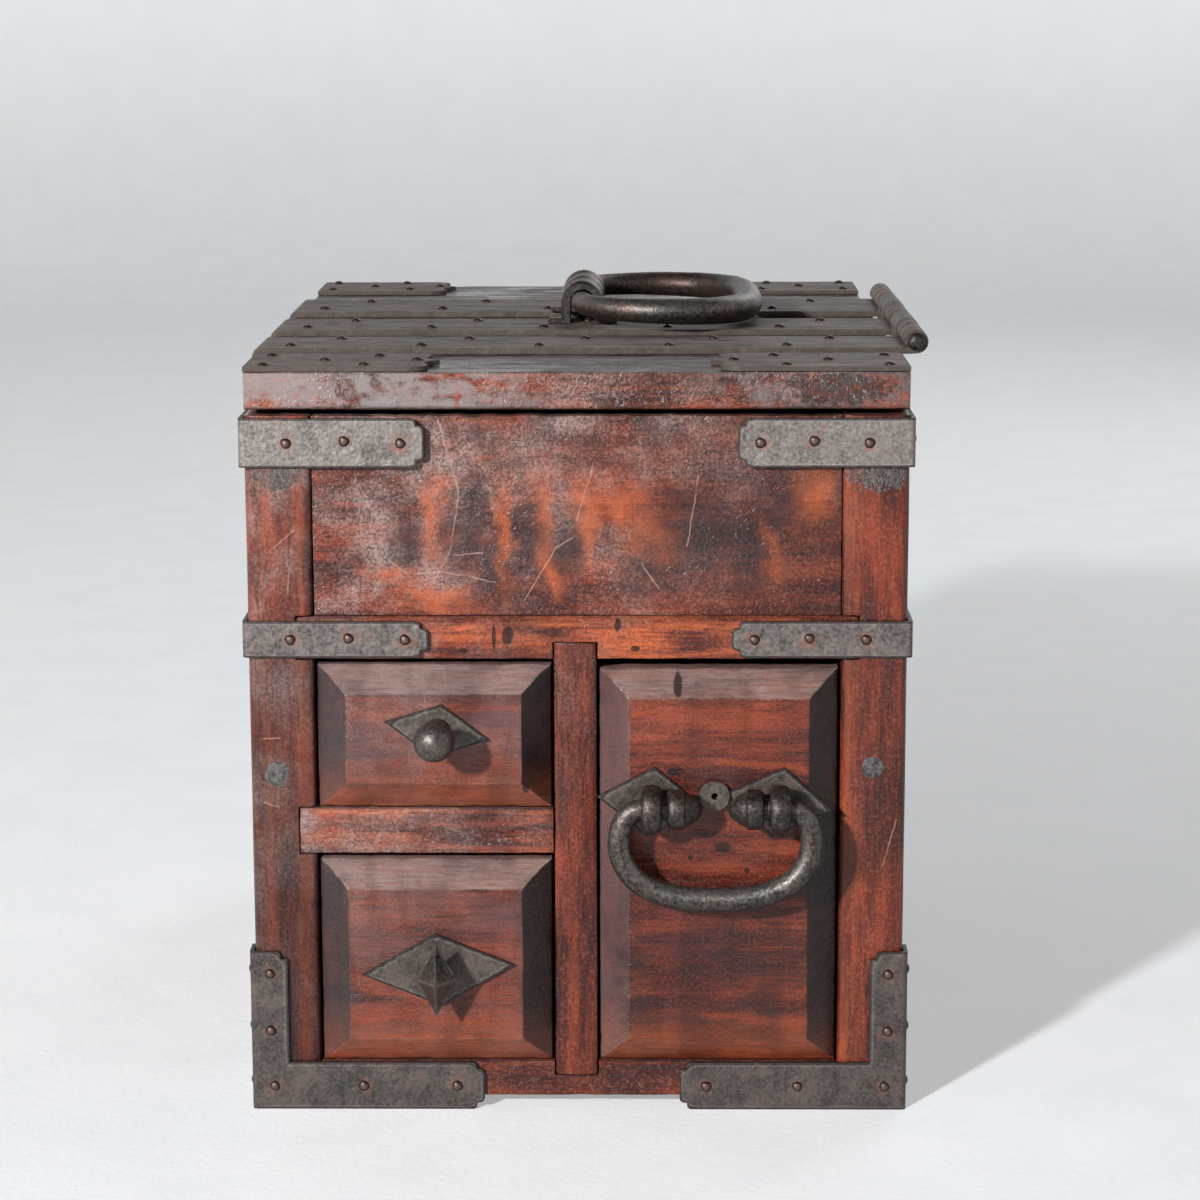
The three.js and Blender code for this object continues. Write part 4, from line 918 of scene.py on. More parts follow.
def stepped_end(reach, height):
    """The end of a strap, going up: square shoulders with a rounded nose between them."""
    neck, low, high = reach - NOSE, STEP, height - STEP
    tip = reach - NOSE_ROUND
    nose = arc((tip, low + NOSE_ROUND), NOSE_ROUND, -90, 0, 4)
    nose += arc((tip, high - NOSE_ROUND), NOSE_ROUND, 0, 90, 4)
    under = arc((neck - SHOULDER, SHOULDER), SHOULDER, -90, 0, 4)
    over = arc((neck - SHOULDER, height - SHOULDER), SHOULDER, 0, 90, 4)
    return under + [(neck, low)] + nose + [(neck, high)] + over


def foot_end(reach, arm_height, post_width, post_top):
    """Half of a foot bracket, going up: along the floor, then up the post, both ends stepped."""
    side = stepped_end(reach, arm_height)
    top = [
        (post_width, arm_height), (post_width, post_top - NOSE), (post_width - STEP, post_top - NOSE),
        *arc((post_width - STEP - SHOULDER, post_top - SHOULDER), SHOULDER, 0, 90, 3),
    ]
    return side + top


def corner_iron(node, half_outline, nail_places, iron):
    """One corner iron: its front and side legs are cut as one sheet and bent round the case's corner."""
    low, high = corners(node)
    case_low, case_high = corners("left_side_board")[0], corners("right_side_board")[1]
    left, front = low.x + high.x < 0, low.y + high.y < 0
    corner_x = case_low.x if left else case_high.x
    corner_y = corners("left_front_post")[0].y if front else corners("back_board")[1].y
    inward_x, inward_y = (1 if left else -1), (1 if front else -1)
    inner_x, inner_y = corner_x - inward_x * SEAM, corner_y - inward_y * SEAM
    front_reach = abs((high.x if left else low.x) - inner_x)
    side_reach = abs((high.y if front else low.y) - inner_y)
    bend = [
        (inner_x + inward_x * (CORNER_BEND - x), inner_y + inward_y * (CORNER_BEND - y), low.z)
        for x, y in arc((0, 0), CORNER_BEND, 0, 90, 6)
    ]
    side_end = (inner_x, inner_y + inward_y * side_reach, low.z)
    front_end = (inner_x + inward_x * front_reach, inner_y, low.z)
    sheet = Sheet([side_end, *bend, front_end], (0, 0, 1), outward=-inward_x * inward_y)
    total = sheet.lengths[-1]
    middle = side_reach - CORNER_BEND + CORNER_BEND * math.pi / 4
    right = half_outline(total - middle, high.z - low.z)
    wrong = half_outline(middle, high.z - low.z)
    outline = [(middle + u, v) for u, v in right] + [(middle - u, v) for u, v in reversed(wrong)]
    nails = [(middle + u, v) for u, v in nail_places(total - middle, high.z - low.z)]
    nails += [(middle - u, v) for u, v in nail_places(middle, high.z - low.z)]
    forge(node, iron, outline, IRON_THICKNESS, sheet, nails)


def strap_nails(reach, height):
    """Where a strap's three nails are on one leg."""
    return [(reach * 0.24, height * 0.5), (reach * 0.56, height * 0.54), (reach * 0.87, height * 0.5)]


for node in ("upper_left_strap", "upper_right_strap", "rear_left_strap", "rear_right_strap"):
    corner_iron(node, stepped_end, strap_nails, upper_iron)
for node in ("middle_left_strap", "middle_right_strap"):
    corner_iron(node, stepped_end, strap_nails, middle_iron)

FOOT_ARM = 23
FOOT_POST = 15.8


def foot_half(reach, height):
    return foot_end(reach, FOOT_ARM, FOOT_POST, height)


def foot_nails(reach, height):
    arm = [(reach * share, FOOT_ARM / 2) for share in (0.08, 0.47, 0.88)]
    return arm + [(FOOT_POST * 0.46, height * share) for share in (0.5, 0.86)]


for node in (
    "front_left_foot_bracket", "front_right_foot_bracket",
    "rear_left_foot_bracket", "rear_right_foot_bracket",
):
    corner_iron(node, foot_half, foot_nails, lower_iron)

# The lid's corner plates: flat sheet iron, cut square at the lid's corners and scalloped to a point
# at the inner end. Each is nailed down flush with the lid's edges by six domed nails.

LID_PLATE = 2.2
SCALLOP = 12
lid_iron = forged_iron(
    "lid_iron", skin=rgb(128, 117, 109), dark=rgb(40, 33, 31), rim=rgb(74, 64, 58), rusty=0.9, streaked=0.5,
    metallic=0.15, gloss=0.25, shift=(0, 77, 0),
)


def curve(start, control, end, steps=6):
    """A quadratic curve from start to end, drawn towards its control point."""
    shares = [step / steps for step in range(1, steps + 1)]
    start, control, end = Vector(start), Vector(control), Vector(end)
    return [tuple(start * (1 - s) ** 2 + control * 2 * s * (1 - s) + end * s * s) for s in shares]


for node in ("lid_front_left_plate", "lid_front_right_plate", "lid_rear_left_plate", "lid_rear_right_plate"):
    low, high = corners(node)
    left, front = low.x + high.x < 0, low.y + high.y < 0
    length, width = high.x - low.x, high.y - low.y
    neck = length - SCALLOP
    waist, bend = neck + SCALLOP * 0.45, neck + SCALLOP * 0.6
    outline = [(0, 0), (neck, 0)]
    outline += curve((neck, 0), (length, width * 0.06), (waist, width * 0.3))
    outline += curve((waist, width * 0.3), (bend, width * 0.42), (length, width * 0.5))
    outline += curve((length, width * 0.5), (bend, width * 0.58), (waist, width * 0.7))
    outline += curve((waist, width * 0.7), (length, width * 0.94), (neck, width))
    outline += [(0, width)]
    along, across = (1 if left else -1), (1 if front else -1)
    start = (low.x if left else high.x, low.y if front else high.y, low.z)
    end = (start[0] + along * length, start[1], start[2])
    sheet = Sheet([start, end], (0, across, 0), outward=-along * across)
    nails = [
        (length * 0.1, width * 0.14), (length * 0.1, width * 0.82), (length * 0.4, width * 0.5),
        (length * 0.62, width * 0.16), (length * 0.67, width * 0.8), (length * 0.88, width * 0.5),
    ]
    forge(node, lid_iron, outline, LID_PLATE, sheet, nails)

# The lid's three straps: broad forged bands, folded down over the left edge and rolled round the
# hinge pin on the right. Five pairs of nails hold each, and grooves are filed round its roll.

LID_STRAP = 3.2
FOLD_BEND = 0.6
KNUCKLE = 5.8
STRAP_ROLL = 285
ROLLED = 2.85
ROLL_GROOVES = (13, 29, 44)


def pivot_of(joint):
    """A joint's middle, in millimetres."""
    return Vector(next(j for j in frame["joints"] if j["name"] == joint)["pos_m"]) / MM


hinge = pivot_of("lid_hinge")
for node in ("lid_front_strap", "lid_middle_strap", "lid_rear_strap"):
    low, high = corners(node)
    width = high.y - low.y
    under = hinge.z - KNUCKLE
    left = corners("lid_board")[0].x - SEAM
    fold = [(left + FOLD_BEND - x, under - FOLD_BEND + z) for x, z in arc((0, 0), FOLD_BEND, 0, 90, 5)]
    roll = arc((hinge.x, hinge.z), KNUCKLE, -90, STRAP_ROLL - 90, 20)
    route = [(x, low.y, z) for x, z in [(left, low.z), *fold, *roll]]
    sheet = Sheet(route, (0, 1, 0), outward=-1)
    total = sheet.lengths[-1]
    start = total - math.radians(STRAP_ROLL) * KNUCKLE
    lid_length = start - (under - low.z)
    nails = []
    for share in (0.08, 0.28, 0.46, 0.66, 0.84):
        for side in (-1, 1):
            along = under - low.z + (share + side * 0.035) * lid_length
            nails.append((along, width * (0.5 + side * 0.28)))
    outline = [(0, 0), (total, 0), (total, width), (0, width)]

    def drawn_thin(u, start=start):
        rolled = min(max((u - start) / 4 + 1, 0), 1)
        return 1 - (1 - ROLLED / LID_STRAP) * rolled

    forge(
        node, lid_iron, outline, LID_STRAP, sheet, nails, pitch=4, hammer=0.4, thin=drawn_thin,
        rings=ROLL_GROOVES, wander=0.7,
    )

# The hinge's case leaf: one long forged plate nailed to the right side of the case. It is set out
# above the case's edge, where two tongues are rolled round the pin between the lid's straps.

LEAF = 2.8
LEAF_ROLL = 275
KNUCKLE_GAP = 0.4
low, high = corners("hinge_case_leaf")
back = corners("right_side_board")[1].x + SEAM
leaf_top = (corners("lid_board")[0].z + corners("lid_board")[1].z) / 2
set_out = [(back, leaf_top), (hinge.x - KNUCKLE, hinge.z - 3)]
roll = arc((hinge.x, hinge.z), KNUCKLE, 180, 180 - LEAF_ROLL, 20)
sheet = Sheet([(x, low.y, z) for x, z in [(back, low.z), *set_out, *roll]], (0, 1, 0), outward=1)
total = sheet.lengths[-1]
flat = leaf_top - low.z
tabs = [
    (corners(before)[1].y + KNUCKLE_GAP - low.y, corners(after)[0].y - KNUCKLE_GAP - low.y)
    for before, after in (("lid_front_strap", "lid_middle_strap"), ("lid_middle_strap", "lid_rear_strap"))
]
outline = [(0, 0), (flat, 0)]
for start, end in tabs:
    outline += [(flat, start), (total, start), (total, end), (flat, end)]
outline += [(flat, high.y - low.y), (0, high.y - low.y)]
row = (corners("right_side_board")[1].z - low.z) / 2
nails = [(row, (high.y - low.y) * share) for share in (0.06, 0.27, 0.5, 0.73, 0.94)]
forge("hinge_case_leaf", lid_iron, outline, LEAF, sheet, nails, pitch=4)

# The hinge pin: a round iron rod that goes through the lid's knuckles and the case's. Its ends are
# hammered over into low domes so that it can't slide out.

WORN_DARK = rgb(30, 27, 26)
WORN_SKIN = rgb(78, 70, 66)
WORN_BRIGHT = rgb(168, 162, 156)
WORN_BROWN = rgb(84, 56, 46)


def worn_iron(name, bright=0.5, brown=0.3, shift=(0, 0, 0)):
    """Forged iron that hands have rubbed: dark, pitted, brown in places and bright on the rounds."""
    material, place = new_finish(name)
    place = place.moved(shift)
    pits = place.cloudy(1.5, 3, 0.6)
    blotch = place.cloudy(7, 4, 0.6)
    patch = place.moved((9, 4, 70)).cloudy(20, 3, 0.5)
    colour = (pits * 0.7 + blotch * 0.3).between(0.34, 0.66).laid_over(WORN_DARK, WORN_SKIN)
    colour = (patch.between(0.45, 0.65) * brown).laid_over(colour, WORN_BROWN)
    polish = (place.attribute("wear") * 0.8 + blotch * 0.2 + pits * 0.5 - 0.2).between(0.45, 1.1)
    colour = (polish * bright).laid_over(colour, WORN_BRIGHT)
    roughness = 0.4 - polish * 0.08 + pits * 0.12
    seal(colour, roughness, pits * 0.6 + blotch * 0.4, 0.36, metallic=0.7)
    return material


def wear_layer(shape):
    """The layer that tells the finish how much each point is rubbed."""
    return shape.verts.layers.float.get("wear") or shape.verts.layers.float.new("wear")


def spun(shape, profile, centre, axis, sides, worn=0.0, closed=False, rough=0.0):
    """Adds a turned shape: its profile lists radius and height, and height runs along the axis."""
    axis = Vector(axis)
    first = axis.orthogonal().normalized()
    second = axis.cross(first)
    wear = wear_layer(shape)
    rings = []
    for radius, height in profile:
        ring = []
        for side in range(sides if radius > 1e-6 else 1):
            angle = 2 * math.pi * side / sides
            out = first * math.cos(angle) + second * math.sin(angle)
            place = Vector(centre) + out * radius + axis * height
            place -= out * rough * (0.5 + 0.5 * noise.noise(place / 5))
            vert = shape.verts.new(place)
            vert[wear] = worn
            ring.append(vert)
        rings.append(ring)
    join_rings(shape, rings, closed)


low, high = corners("hinge_pin")
PIN = 2.6
PIN_HEAD = 4.4
PIN_DOME = 2.6
shape = bmesh.new()
run = high.y - low.y
dome = [(PIN_HEAD * across, PIN_DOME * up) for across, up in arc((0, 0), 1, 0, 90, 6)[:-1]]
profile = [(0, 0)] + [(r, PIN_DOME - h) for r, h in reversed(dome)]
profile += [(PIN, PIN_DOME + 0.3), (PIN, run - PIN_DOME - 0.3)]
profile += [(r, run - PIN_DOME + h) for r, h in dome] + [(0, run)]
spun(shape, profile, (hinge.x, low.y, hinge.z), (0, 1, 0), 24, worn=0.35, rough=0.25)
pin_iron = worn_iron("pin_iron", bright=0.9, brown=0.3)
stand_for("hinge_pin", shape, [pin_iron])

# The carrying handle: a thick forged ring, closed through an arched saddle that stands on the middle
# strap. The saddle has three ridges and small feet, and hands have polished the ring's outside.

BORE = 6.3
WALL = 3.2
RIDGE = 1.3
RIDGE_WIDTH = 7
FOOT_SHEET = 2.4
SADDLE_STEPS = 44
SADDLE_OUTSIDE = 25
pivot = pivot_of("lid_handle_pivot")
low, high = corners("lid_handle_saddle")
base = low.z
saddle_iron = worn_iron("saddle_iron", bright=0.35, brown=0.5, shift=(0, 30, 0))
shape = bmesh.new()
wear = wear_layer(shape)
ridges = (low.y + RIDGE_WIDTH / 2, (low.y + high.y) / 2, high.y - RIDGE_WIDTH / 2)
rows = []
for index in range(SADDLE_STEPS + 1):
    y = low.y + (high.y - low.y) * index / SADDLE_STEPS
    ridge = max(math.exp(-((y - at) / 3.4) ** 2 * 1.6) for at in ridges)
    end = 0.7 * max(0, 1 - min(index, SADDLE_STEPS - index) / 1.5)
    outer = BORE + WALL + RIDGE * ridge - end
    ring = [(pivot.x + outer, base), (pivot.x + outer, pivot.z - 2)]
    ring += arc((pivot.x, pivot.z), outer, 0, 180, 20)
    ring += [(pivot.x - outer, pivot.z - 2), (pivot.x - outer, base), (pivot.x - BORE, base)]
    ring += arc((pivot.x, pivot.z), BORE, 180, 0, 20) + [(pivot.x + BORE, base)]
    row = []
    for number, (x, z) in enumerate(ring):
        dent = 0.25 * noise.noise(Vector((x, y, z)) / 5) if number < SADDLE_OUTSIDE else 0
        vert = shape.verts.new((x - dent * 0.3, y, z - abs(dent)))
        vert[wear] = ridge if 3 < number < 22 else 0
        row.append(vert)
    rows.append(row)
join_rings(shape, rows)
shape.faces.new(rows[0])
shape.faces.new(rows[-1])
for side in (-1, 1):
    for start in (low.y, high.y - RIDGE_WIDTH):
        reach = high.x - pivot.x if side > 0 else pivot.x - low.x
        spread = [(BORE + 1, 0), (reach, 0), (reach, 1.4), (reach - 1.2, FOOT_SHEET), (BORE + 1, FOOT_SHEET)]
        loops = []
        for share, narrow in ((0.02, 0.25), (0.12, 0), (0.5, 0), (0.88, 0), (0.98, 0.25)):
            y = start + RIDGE_WIDTH * share
            places = [(pivot.x + side * (x - narrow), y, base + z * (1 - narrow / 2)) for x, z in spread]
            loops.append([shape.verts.new(place) for place in places])
        join_rings(shape, loops)
        shape.faces.new(loops[0])
        shape.faces.new(loops[-1])
stand_for("lid_handle_saddle", shape, [saddle_iron], crease=50)


def flowing(points, count, closed=False):
    """A smooth curve through the points, with count points on it."""
    if closed:
        ends = [points[-1], *points, points[0], points[1]]
    else:
        ends = [points[0] * 2 - points[1], *points, points[-1] * 2 - points[-2]]
    spans = len(points) if closed else len(points) - 1
    found = []
    for index in range(count if closed else count + 1):
        whole = min(int(index * spans / count), spans - 1)
        t = index * spans / count - whole
        p0, p1, p2, p3 = ends[whole:whole + 4]
        d0, d1, d2 = ((b - a).length ** 0.5 or 1 for a, b in ((p0, p1), (p1, p2), (p2, p3)))
        leave = ((p1 - p0) / d0 - (p2 - p0) / (d0 + d1) + (p2 - p1) / d1) * d1
        arrive = ((p2 - p1) / d1 - (p3 - p1) / (d1 + d2) + (p3 - p2) / d2) * d1
        squared = -3 * p1 + 3 * p2 - 2 * leave - arrive
        cubed = 2 * p1 - 2 * p2 + leave + arrive
        found.append(p1 + leave * t + squared * t * t + cubed * t * t * t)
    return found


def drawn_rod(shape, points, radii, plane, worn, sides=22, closed=False):
    """Adds a forged round rod along points that lie in a plane; worn gives each place's polish."""
    wear = wear_layer(shape)
    count, rings = len(points), []
    for index, (point, radius) in enumerate(zip(points, radii)):
        before = points[index - 1] if closed or index else point
        after = points[(index + 1) % count] if closed or index < count - 1 else point
        sideways = plane.cross((after - before).normalized())
        ring = []
        for side in range(sides):
            angle = 2 * math.pi * side / sides
            out = sideways * math.cos(angle) + plane * math.sin(angle)
            place = point + out * radius
            dent = noise.noise(place / 9) * 0.5 + noise.noise(place / 3.2) * 0.25
            vert = shape.verts.new(place - out * radius * 0.045 * (1 + dent))
            vert[wear] = worn(point, out)
            ring.append(vert)
        rings.append(ring)
    join_rings(shape, rings, closed)
    if not closed:
        shape.faces.new(rings[0])
        shape.faces.new(rings[-1])


HANDLE_REACH = 84
HANDLE_HALF = 70
PIVOT_RADIUS = 5.7
GRIP_RADIUS = 7.4
NAIL_CLEARANCE = 0.35
strap_top = hinge.z - KNUCKLE + LID_STRAP
drop = pivot.z - (strap_top + NAIL_HEIGHT + NAIL_CLEARANCE + GRIP_RADIUS)
tilt = math.asin(drop / HANDLE_REACH)
out_way = Vector((math.cos(tilt), 0, -math.sin(tilt)))
half_ring = [
    (0.28, 0), (0.5, 0), (0.72, 0.05), (0.9, 0.2), (1, 0.45), (0.93, 0.74), (0.68, 0.93), (0.34, 0.995),
]
shares = [(-across, out) for across, out in half_ring] + [(0, 1)] + half_ring[::-1] + [(0, 0)]
knots = [
    pivot + Vector((0, across * HANDLE_HALF, 0)) + out_way * (out * HANDLE_REACH) for across, out in shares
]
points = flowing(knots, 150, closed=True)
radii = [
    PIVOT_RADIUS + (GRIP_RADIUS - PIVOT_RADIUS) * min(max((point - pivot).dot(out_way) / HANDLE_REACH, 0), 1)
    for point in points
]
heart = pivot + out_way * (HANDLE_REACH / 2)


def palm_polish(point, out):
    """The carrying handle is rubbed on the outside of its ring and on top."""
    return max(out.dot((point - heart).normalized()) * 0.6 + out.z * 0.5, 0)


shape = bmesh.new()
drawn_rod(shape, points, radii, out_way.cross(Vector((0, 1, 0))), palm_polish, closed=True)
handle_iron = worn_iron("handle_iron", bright=0.3, brown=0.45)
stand_for("lid_handle", shape, [handle_iron], crease=60)

# The knobs: a ball on a waisted neck for the upper drawer and a cut pyramid for the lower, each on a
# diamond plate with filed edges. Their shanks go through the front and are clenched behind it.

DIAMOND = 2.0
ball_iron = worn_iron("ball_iron", bright=0.3, brown=0.35, shift=(3, 0, 9))
pyramid_iron = worn_iron("pyramid_iron", bright=0.22, brown=0.4, shift=(3, 0, 9))
diamond_iron = forged_iron(
    "diamond_iron", skin=rgb(94, 84, 77), dark=rgb(50, 43, 39), rim=rgb(30, 25, 23), rusty=0.3,
    shift=(11, 0, 4),
)


def diamond_plate(node, half_length, half_height, degrees, centre):
    """A diamond cut from sheet iron and set on a drawer's field by eye, so that it is a little turned."""
    cos, sin = math.cos(math.radians(degrees)), math.sin(math.radians(degrees))
    flat = [(-half_length, 0), (0, -half_height), (half_length, 0), (0, half_height)]
    outline = [(half_length + x * cos - z * sin, half_height + x * sin + z * cos) for x, z in flat]
    back = corners(node)[1].y
    start = Vector((centre[0] - half_length, back, centre[1] - half_height))
    sheet = Sheet([start, start + Vector((2 * half_length, 0, 0))], (0, 0, 1), outward=-1)
    forge(node, diamond_iron, outline, DIAMOND, sheet, pitch=2.5, edge=0.7, hammer=0.12)


def middle_of(node):
    """The middle of a solid, seen from the front."""
    low, high = corners(node)
    return ((low.x + high.x) / 2, (low.z + high.z) / 2)


ball = middle_of("ball_knob")
diamond_plate("ball_knob_plate", 24.4, 12.5, -10, ball)
pyramid = middle_of("pyramid_knob")
diamond_plate("pyramid_knob_plate", 35.6, 17.3, 4, pyramid)
planed("pyramid_knob", pyramid_iron, edge=0.35, pitch=2.2, uneven=0.12, chips=0.25)

BALL = 9.5
NECK = 4.2
CLENCH = 1.6
low, high = corners("ball_knob")
face = corners("ball_knob_plate")[0].y
stand = face - low.y - BALL
shank_end = face - high.y
shank = [(0, shank_end), (5.2, shank_end), (5.2, shank_end + CLENCH), (PIN, shank_end + CLENCH), (PIN, SEAM)]
collar = [(6.0, SEAM), (6.3, 1.0), (5.6, 2.4), (4.6, 4.0), (NECK * 0.98, 6.0), (NECK * 0.95, 8.2)]
globe = arc((0, stand), BALL, -math.degrees(math.acos(NECK / BALL)), 90, 18)[:-1]
profile = shank + collar + globe + [(0, stand + BALL)]
shape = bmesh.new()
spun(shape, profile, (ball[0], face, ball[1]), (0, -1, 0), 40, worn=0.75, rough=0.22)
stand_for("ball_knob", shape, [ball_iron], crease=50)

# The tall drawer's handle: a heavy forged bail with an acorn on each end, swinging in two thick eyes.
# The eyes' flat-sided shanks go through diamond plates and the front, and are clenched behind it.

swing = pivot_of("drawer_bail_pivot")
EYE_RADIUS = 11.5
EYE_BORE = 6.1
EYE_WIDTH = 9.4
SHANK_WIDE = 6
SHANK_HIGH = 7
bail_iron = worn_iron("bail_iron", bright=0.55, brown=0.2, shift=(0, 8, 2))
for side, turn in (("left", -6), ("right", -9)):
    eye = f"{side}_bail_eye"
    middle = middle_of(eye)
    low, high = corners(eye)
    diamond_plate(f"{side}_bail_plate", 25, 16.5, turn, (middle[0], swing.z))
    bulge = []
    for step in range(16):
        angle = 2 * math.pi * step / 16
        radius = EYE_BORE + (EYE_RADIUS - EYE_BORE) * (0.5 + 0.5 * math.cos(angle))
        bulge.append((radius, EYE_WIDTH / 2 * math.copysign(abs(math.sin(angle)) ** 0.8, math.sin(angle))))
    shape = bmesh.new()
    spun(shape, bulge, (middle[0], swing.y, swing.z), (1, 0, 0), 36, worn=0.45, closed=True, rough=0.35)
    for wide, start in ((SHANK_WIDE, swing.y + EYE_BORE + 2), (high.x - low.x, high.y - CLENCH)):
        box = bmesh.ops.create_cube(shape, size=1)["verts"]
        bmesh.ops.scale(shape, vec=(wide, high.y - start, SHANK_HIGH), verts=box)
        bmesh.ops.translate(shape, vec=(middle[0], (start + high.y) / 2, swing.z), verts=box)
        edges = list({edge for vert in box for edge in vert.link_edges})
        bmesh.ops.bevel(shape, geom=edges, offset=0.4, segments=2, affect="EDGES")
    stand_for(eye, shape, [bail_iron], crease=50)

BAIL_HALF = 43.8
BAIL_DROP = 42.6
ACORN_TIP = 6
ACORN_BACK = 22
ACORN = 9.4
bail_shares = [
    (0.32, 0), (0.5, 0), (0.64, 0), (0.76, 0), (0.88, -0.04), (0.97, -0.17),
    (1, -0.38), (0.95, -0.6), (0.8, -0.8), (0.52, -0.94), (0.26, -0.99),
]
shares = [(-across, up) for across, up in bail_shares] + [(0, -1)] + bail_shares[::-1]
knots = [swing + Vector((across * BAIL_HALF, 0, up * BAIL_DROP)) for across, up in shares]
points = flowing(knots, 130)
radii = [5.0 + 0.8 * math.sqrt(min(max((swing.z - point.z) / BAIL_DROP, 0), 1)) for point in points]
bail_heart = swing - Vector((0, 0, BAIL_DROP * 0.45))


def finger_polish(point, out):
    """The bail is rubbed in front, round its outside and inside, and a little on top."""
    sideways = abs(out.dot((point - bail_heart).normalized()))
    return max(-out.y * 0.5 + sideways * 0.35 + out.z * 0.25, 0)


shape = bmesh.new()
drawn_rod(shape, points, radii, Vector((0, 1, 0)), finger_polish)
run = ACORN_BACK - ACORN_TIP
acorn = [
    (0, 0), (0.2, 0.005), (0.36, 0.05), (0.52, 0.14), (0.67, 0.26), (0.79, 0.38), (0.86, 0.46), (0.9, 0.5),
    (0.985, 0.53), (1, 0.6), (1, 0.78), (0.985, 0.88), (0.93, 0.96), (0.8, 1), (0, 1),
]
profile = [(ACORN * radius, ACORN_TIP + run * height) for radius, height in acorn]
for way in (-1, 1):
    spun(shape, profile, swing, (way, 0, 0), 32, worn=0.4, rough=0.3)
stand_for("drawer_bail", shape, [bail_iron], crease=50)

# The keyhole disc and the lock: a small iron disc with the keyhole in it, over the tips of the bail's
# two plates, and behind the drawer's front the closed iron case of the lock.

KEYHOLE = 1.7
low, high = corners("keyhole_disc")
disc = middle_of("keyhole_disc")
radius = (high.x - low.x) / 2
thick = high.y - low.y
profile = [(KEYHOLE, 0), (radius - 0.3, 0), (radius, 0.3), (radius, thick - 0.5), (radius - 0.5, thick)]
profile += [(radius * share, thick - 0.12) for share in (0.8, 0.6, 0.4)] + [(KEYHOLE, thick - 0.2)]
shape = bmesh.new()
spun(shape, profile, (disc[0], high.y, disc[1]), (0, -1, 0), 32, worn=0.3, closed=True, rough=0.2)
stand_for("keyhole_disc", shape, [diamond_iron])
planed("drawer_lock", lower_iron, edge=0.4, pitch=5, uneven=0.1, chips=0.1)

# The plugs: round wooden pegs over the joints' pins in the two front posts and in the lid's front
# edge. They are let in and cut off flush, and their end grain has gone grey.

PLUG_SIDES = 11


def plug_wood(name, pale, dark):
    """A plug's end grain: blotched, with short dark cracks."""
    material, place = new_finish(name)
    rings = place.cloudy(2.2, 5, 0.65, 0.6)
    cracks = place.moved((4, 4, 4)).cloudy(3, 4, 0.7).between(0.55, 0.62)
    colour = rings.between(0.35, 0.65).laid_over(dark, pale)
    colour = (cracks * 0.5).laid_over(colour, STAIN)
    seal(colour, 0.5 + rings * 0.1, rings - cracks, 0.4)
    return material


post_plug = plug_wood("post_plug_end_grain", pale=rgb(96, 92, 91), dark=rgb(48, 44, 44))
lid_plug = plug_wood("lid_plug_end_grain", pale=rgb(132, 104, 96), dark=rgb(74, 50, 45))
for name, node, finish, along, z, radius in (
    ("left_post_plug", "left_front_post", post_plug, 12.5, 162, 6.2),
    ("right_post_plug", "right_front_post", post_plug, 15.025, 165, 5.5),
    ("lid_left_plug", "lid_board", lid_plug, 46.6, 341, 5.4),
    ("lid_right_plug", "lid_board", lid_plug, 248.725, 337.6, 4.8),
):
    low = corners(node)[0]
    draws = random.Random(name)
    uneven = [draws.uniform(0.88, 1.04) for side in range(PLUG_SIDES)]
    shape = bmesh.new()
    rings = []
    for share, depth in ((1, 1.2), (1, 0.12), (0.9, -0.06), (0.5, -0.1)):
        ring = []
        for side, reach in enumerate(uneven):
            angle = 2 * math.pi * side / PLUG_SIDES
            out = radius * share * reach
            place = (low.x + along + out * math.cos(angle), low.y + depth, z + out * math.sin(angle))
            ring.append(shape.verts.new(place))
        rings.append(ring)
    join_rings(shape, rings)
    shape.faces.new(rings[0])
    shape.faces.new(rings[-1])
    finish_piece(shape, name, node, [finish])

# The floor and the light: a pale floor that curves up into a round wall, a small lamp from the upper
# left in front, a weak wide one behind on the right, and the camera where the chest was seen from.

FLOOR_GREY = rgb(208, 211, 214)
FLOOR_SHADE = rgb(200, 203, 206)
FLOOR_LIFT = 0.36
WALL_LIFT = 0.6
COVE_START = 3.4
COVE = 0.7
WALL_TOP = 3.4
FLOOR_SIDES = 96
profile = [(0.6 * step, 0.0) for step in range(1, 6)] + [(COVE_START, 0.0)]
profile += arc((COVE_START, COVE), COVE, -90, 0, 15)[1:] + [(COVE_START + COVE, WALL_TOP)]
floor_verts = [(0.0, 0.0, 0.0)]
for reach, z in profile:
    floor_verts += [(x, y, z) for x, y in arc((0, 0), reach, 0, 360, FLOOR_SIDES)[:-1]]
floor_faces = [(0, 1 + side, 1 + (side + 1) % FLOOR_SIDES) for side in range(FLOOR_SIDES)]
for ring in range(len(profile) - 1):
    near, far = 1 + ring * FLOOR_SIDES, 1 + (ring + 1) * FLOOR_SIDES
    for side in range(FLOOR_SIDES):
        after = (side + 1) % FLOOR_SIDES
        floor_faces.append((near + side, far + side, far + after, near + after))
floor_data = bpy.data.meshes.new("floor")
floor_data.from_pydata(floor_verts, [], floor_faces)
floor_data.shade_smooth()
floor = bpy.data.objects.new("floor", floor_data)
bpy.context.scene.collection.objects.link(floor)
floor_finish, place = new_finish("pale_floor")
trowelled = place.cloudy(60, 6, 0.6)
fine = place.cloudy(4, 4, 0.6)
pale = trowelled.between(0.3, 0.7).laid_over(FLOOR_SHADE, FLOOR_GREY)
path = floor_finish.node_tree.nodes.new("ShaderNodeLightPath")
seen = Field(path.outputs["Is Camera Ray"])
seen = seen.at_least(Field(path.outputs["Is Glossy Ray"]))
seen = seen.at_least(Field(path.outputs["Is Transmission Ray"]))
lifted = seen * (FLOOR_LIFT + place.part(2).between(0, 900) * (WALL_LIFT - FLOOR_LIFT))
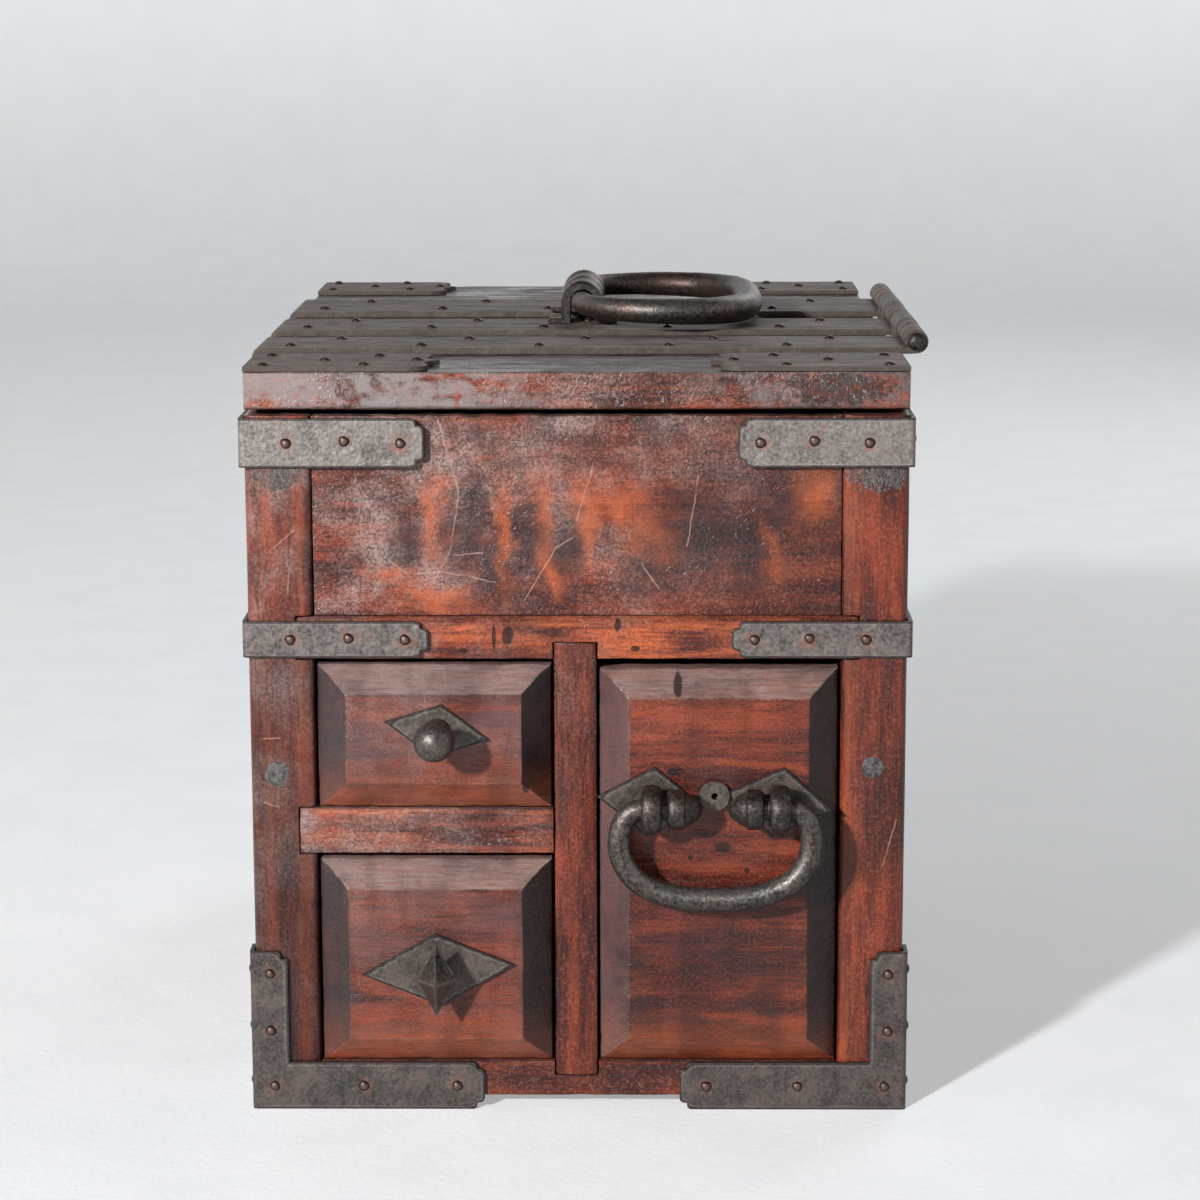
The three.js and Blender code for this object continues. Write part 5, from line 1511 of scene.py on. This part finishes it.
bump = fine.node("ShaderNodeBump", {}, {"Height": fine + trowelled, "Distance": 0.4 * MM}, output="Normal")
values = {"Base Color": pale, "Roughness": 0.9, "Normal": bump, "Emission Strength": 1.0}
values["Emission Color"] = lifted.laid_over((0, 0, 0, 1), (1, 1, 1, 1))
shader = pale.node("ShaderNodeBsdfPrincipled", {}, values)
shader.node("ShaderNodeOutputMaterial", {}, {"Surface": shader})
floor_data.materials.append(floor_finish)

AMBIENT = 0.05
world = bpy.data.worlds.new("surround")
bpy.context.scene.world = world
world.use_nodes = True
world.node_tree.nodes.clear()
room = world.node_tree.nodes.new("ShaderNodeBackground")
room.inputs["Color"].default_value = rgb(236, 238, 240)
room.inputs["Strength"].default_value = AMBIENT
output = world.node_tree.nodes.new("ShaderNodeOutputWorld")
world.node_tree.links.new(room.outputs["Background"], output.inputs["Surface"])

AIM = Vector((0, 0, 0.18))


def lamp(name, place, size, power):
    """A round lamp that shines on the middle of the chest."""
    data = bpy.data.lights.new(name, "AREA")
    data.shape = "DISK"
    data.size = size
    data.energy = power
    made = bpy.data.objects.new(name, data)
    bpy.context.scene.collection.objects.link(made)
    made.location = place
    made.rotation_euler = (AIM - Vector(place)).to_track_quat("-Z", "Y").to_euler()


lamp("upper_left_lamp", (-1.56, -2.6, 1.35), 0.2, 138)
lamp("back_fill", (1.1, 1.9, 1.7), 1.4, 13)

CAMERA_PLACE = (0.0226, -1.5785, 0.5256)
LENS = 93.7
LENS_SHIFT = -0.0535
PITCH = 10.2
YAW = -0.69
ROLL = -0.15
camera_data = bpy.data.cameras.new("camera")
camera = bpy.data.objects.new("camera", camera_data)
bpy.context.scene.collection.objects.link(camera)
bpy.context.scene.camera = camera
camera_data.lens = LENS
camera_data.sensor_width = 36
camera_data.shift_y = LENS_SHIFT
camera.location = CAMERA_PLACE
yaw, pitch = math.radians(YAW), math.radians(PITCH)
look = Vector((math.sin(yaw) * math.cos(pitch), math.cos(yaw) * math.cos(pitch), -math.sin(pitch)))
camera.rotation_euler = look.to_track_quat("-Z", "Y").to_euler()
camera.rotation_euler.rotate_axis("Z", math.radians(ROLL))
bpy.context.scene.view_settings.view_transform = "Standard"

bpy.context.view_layer.update()
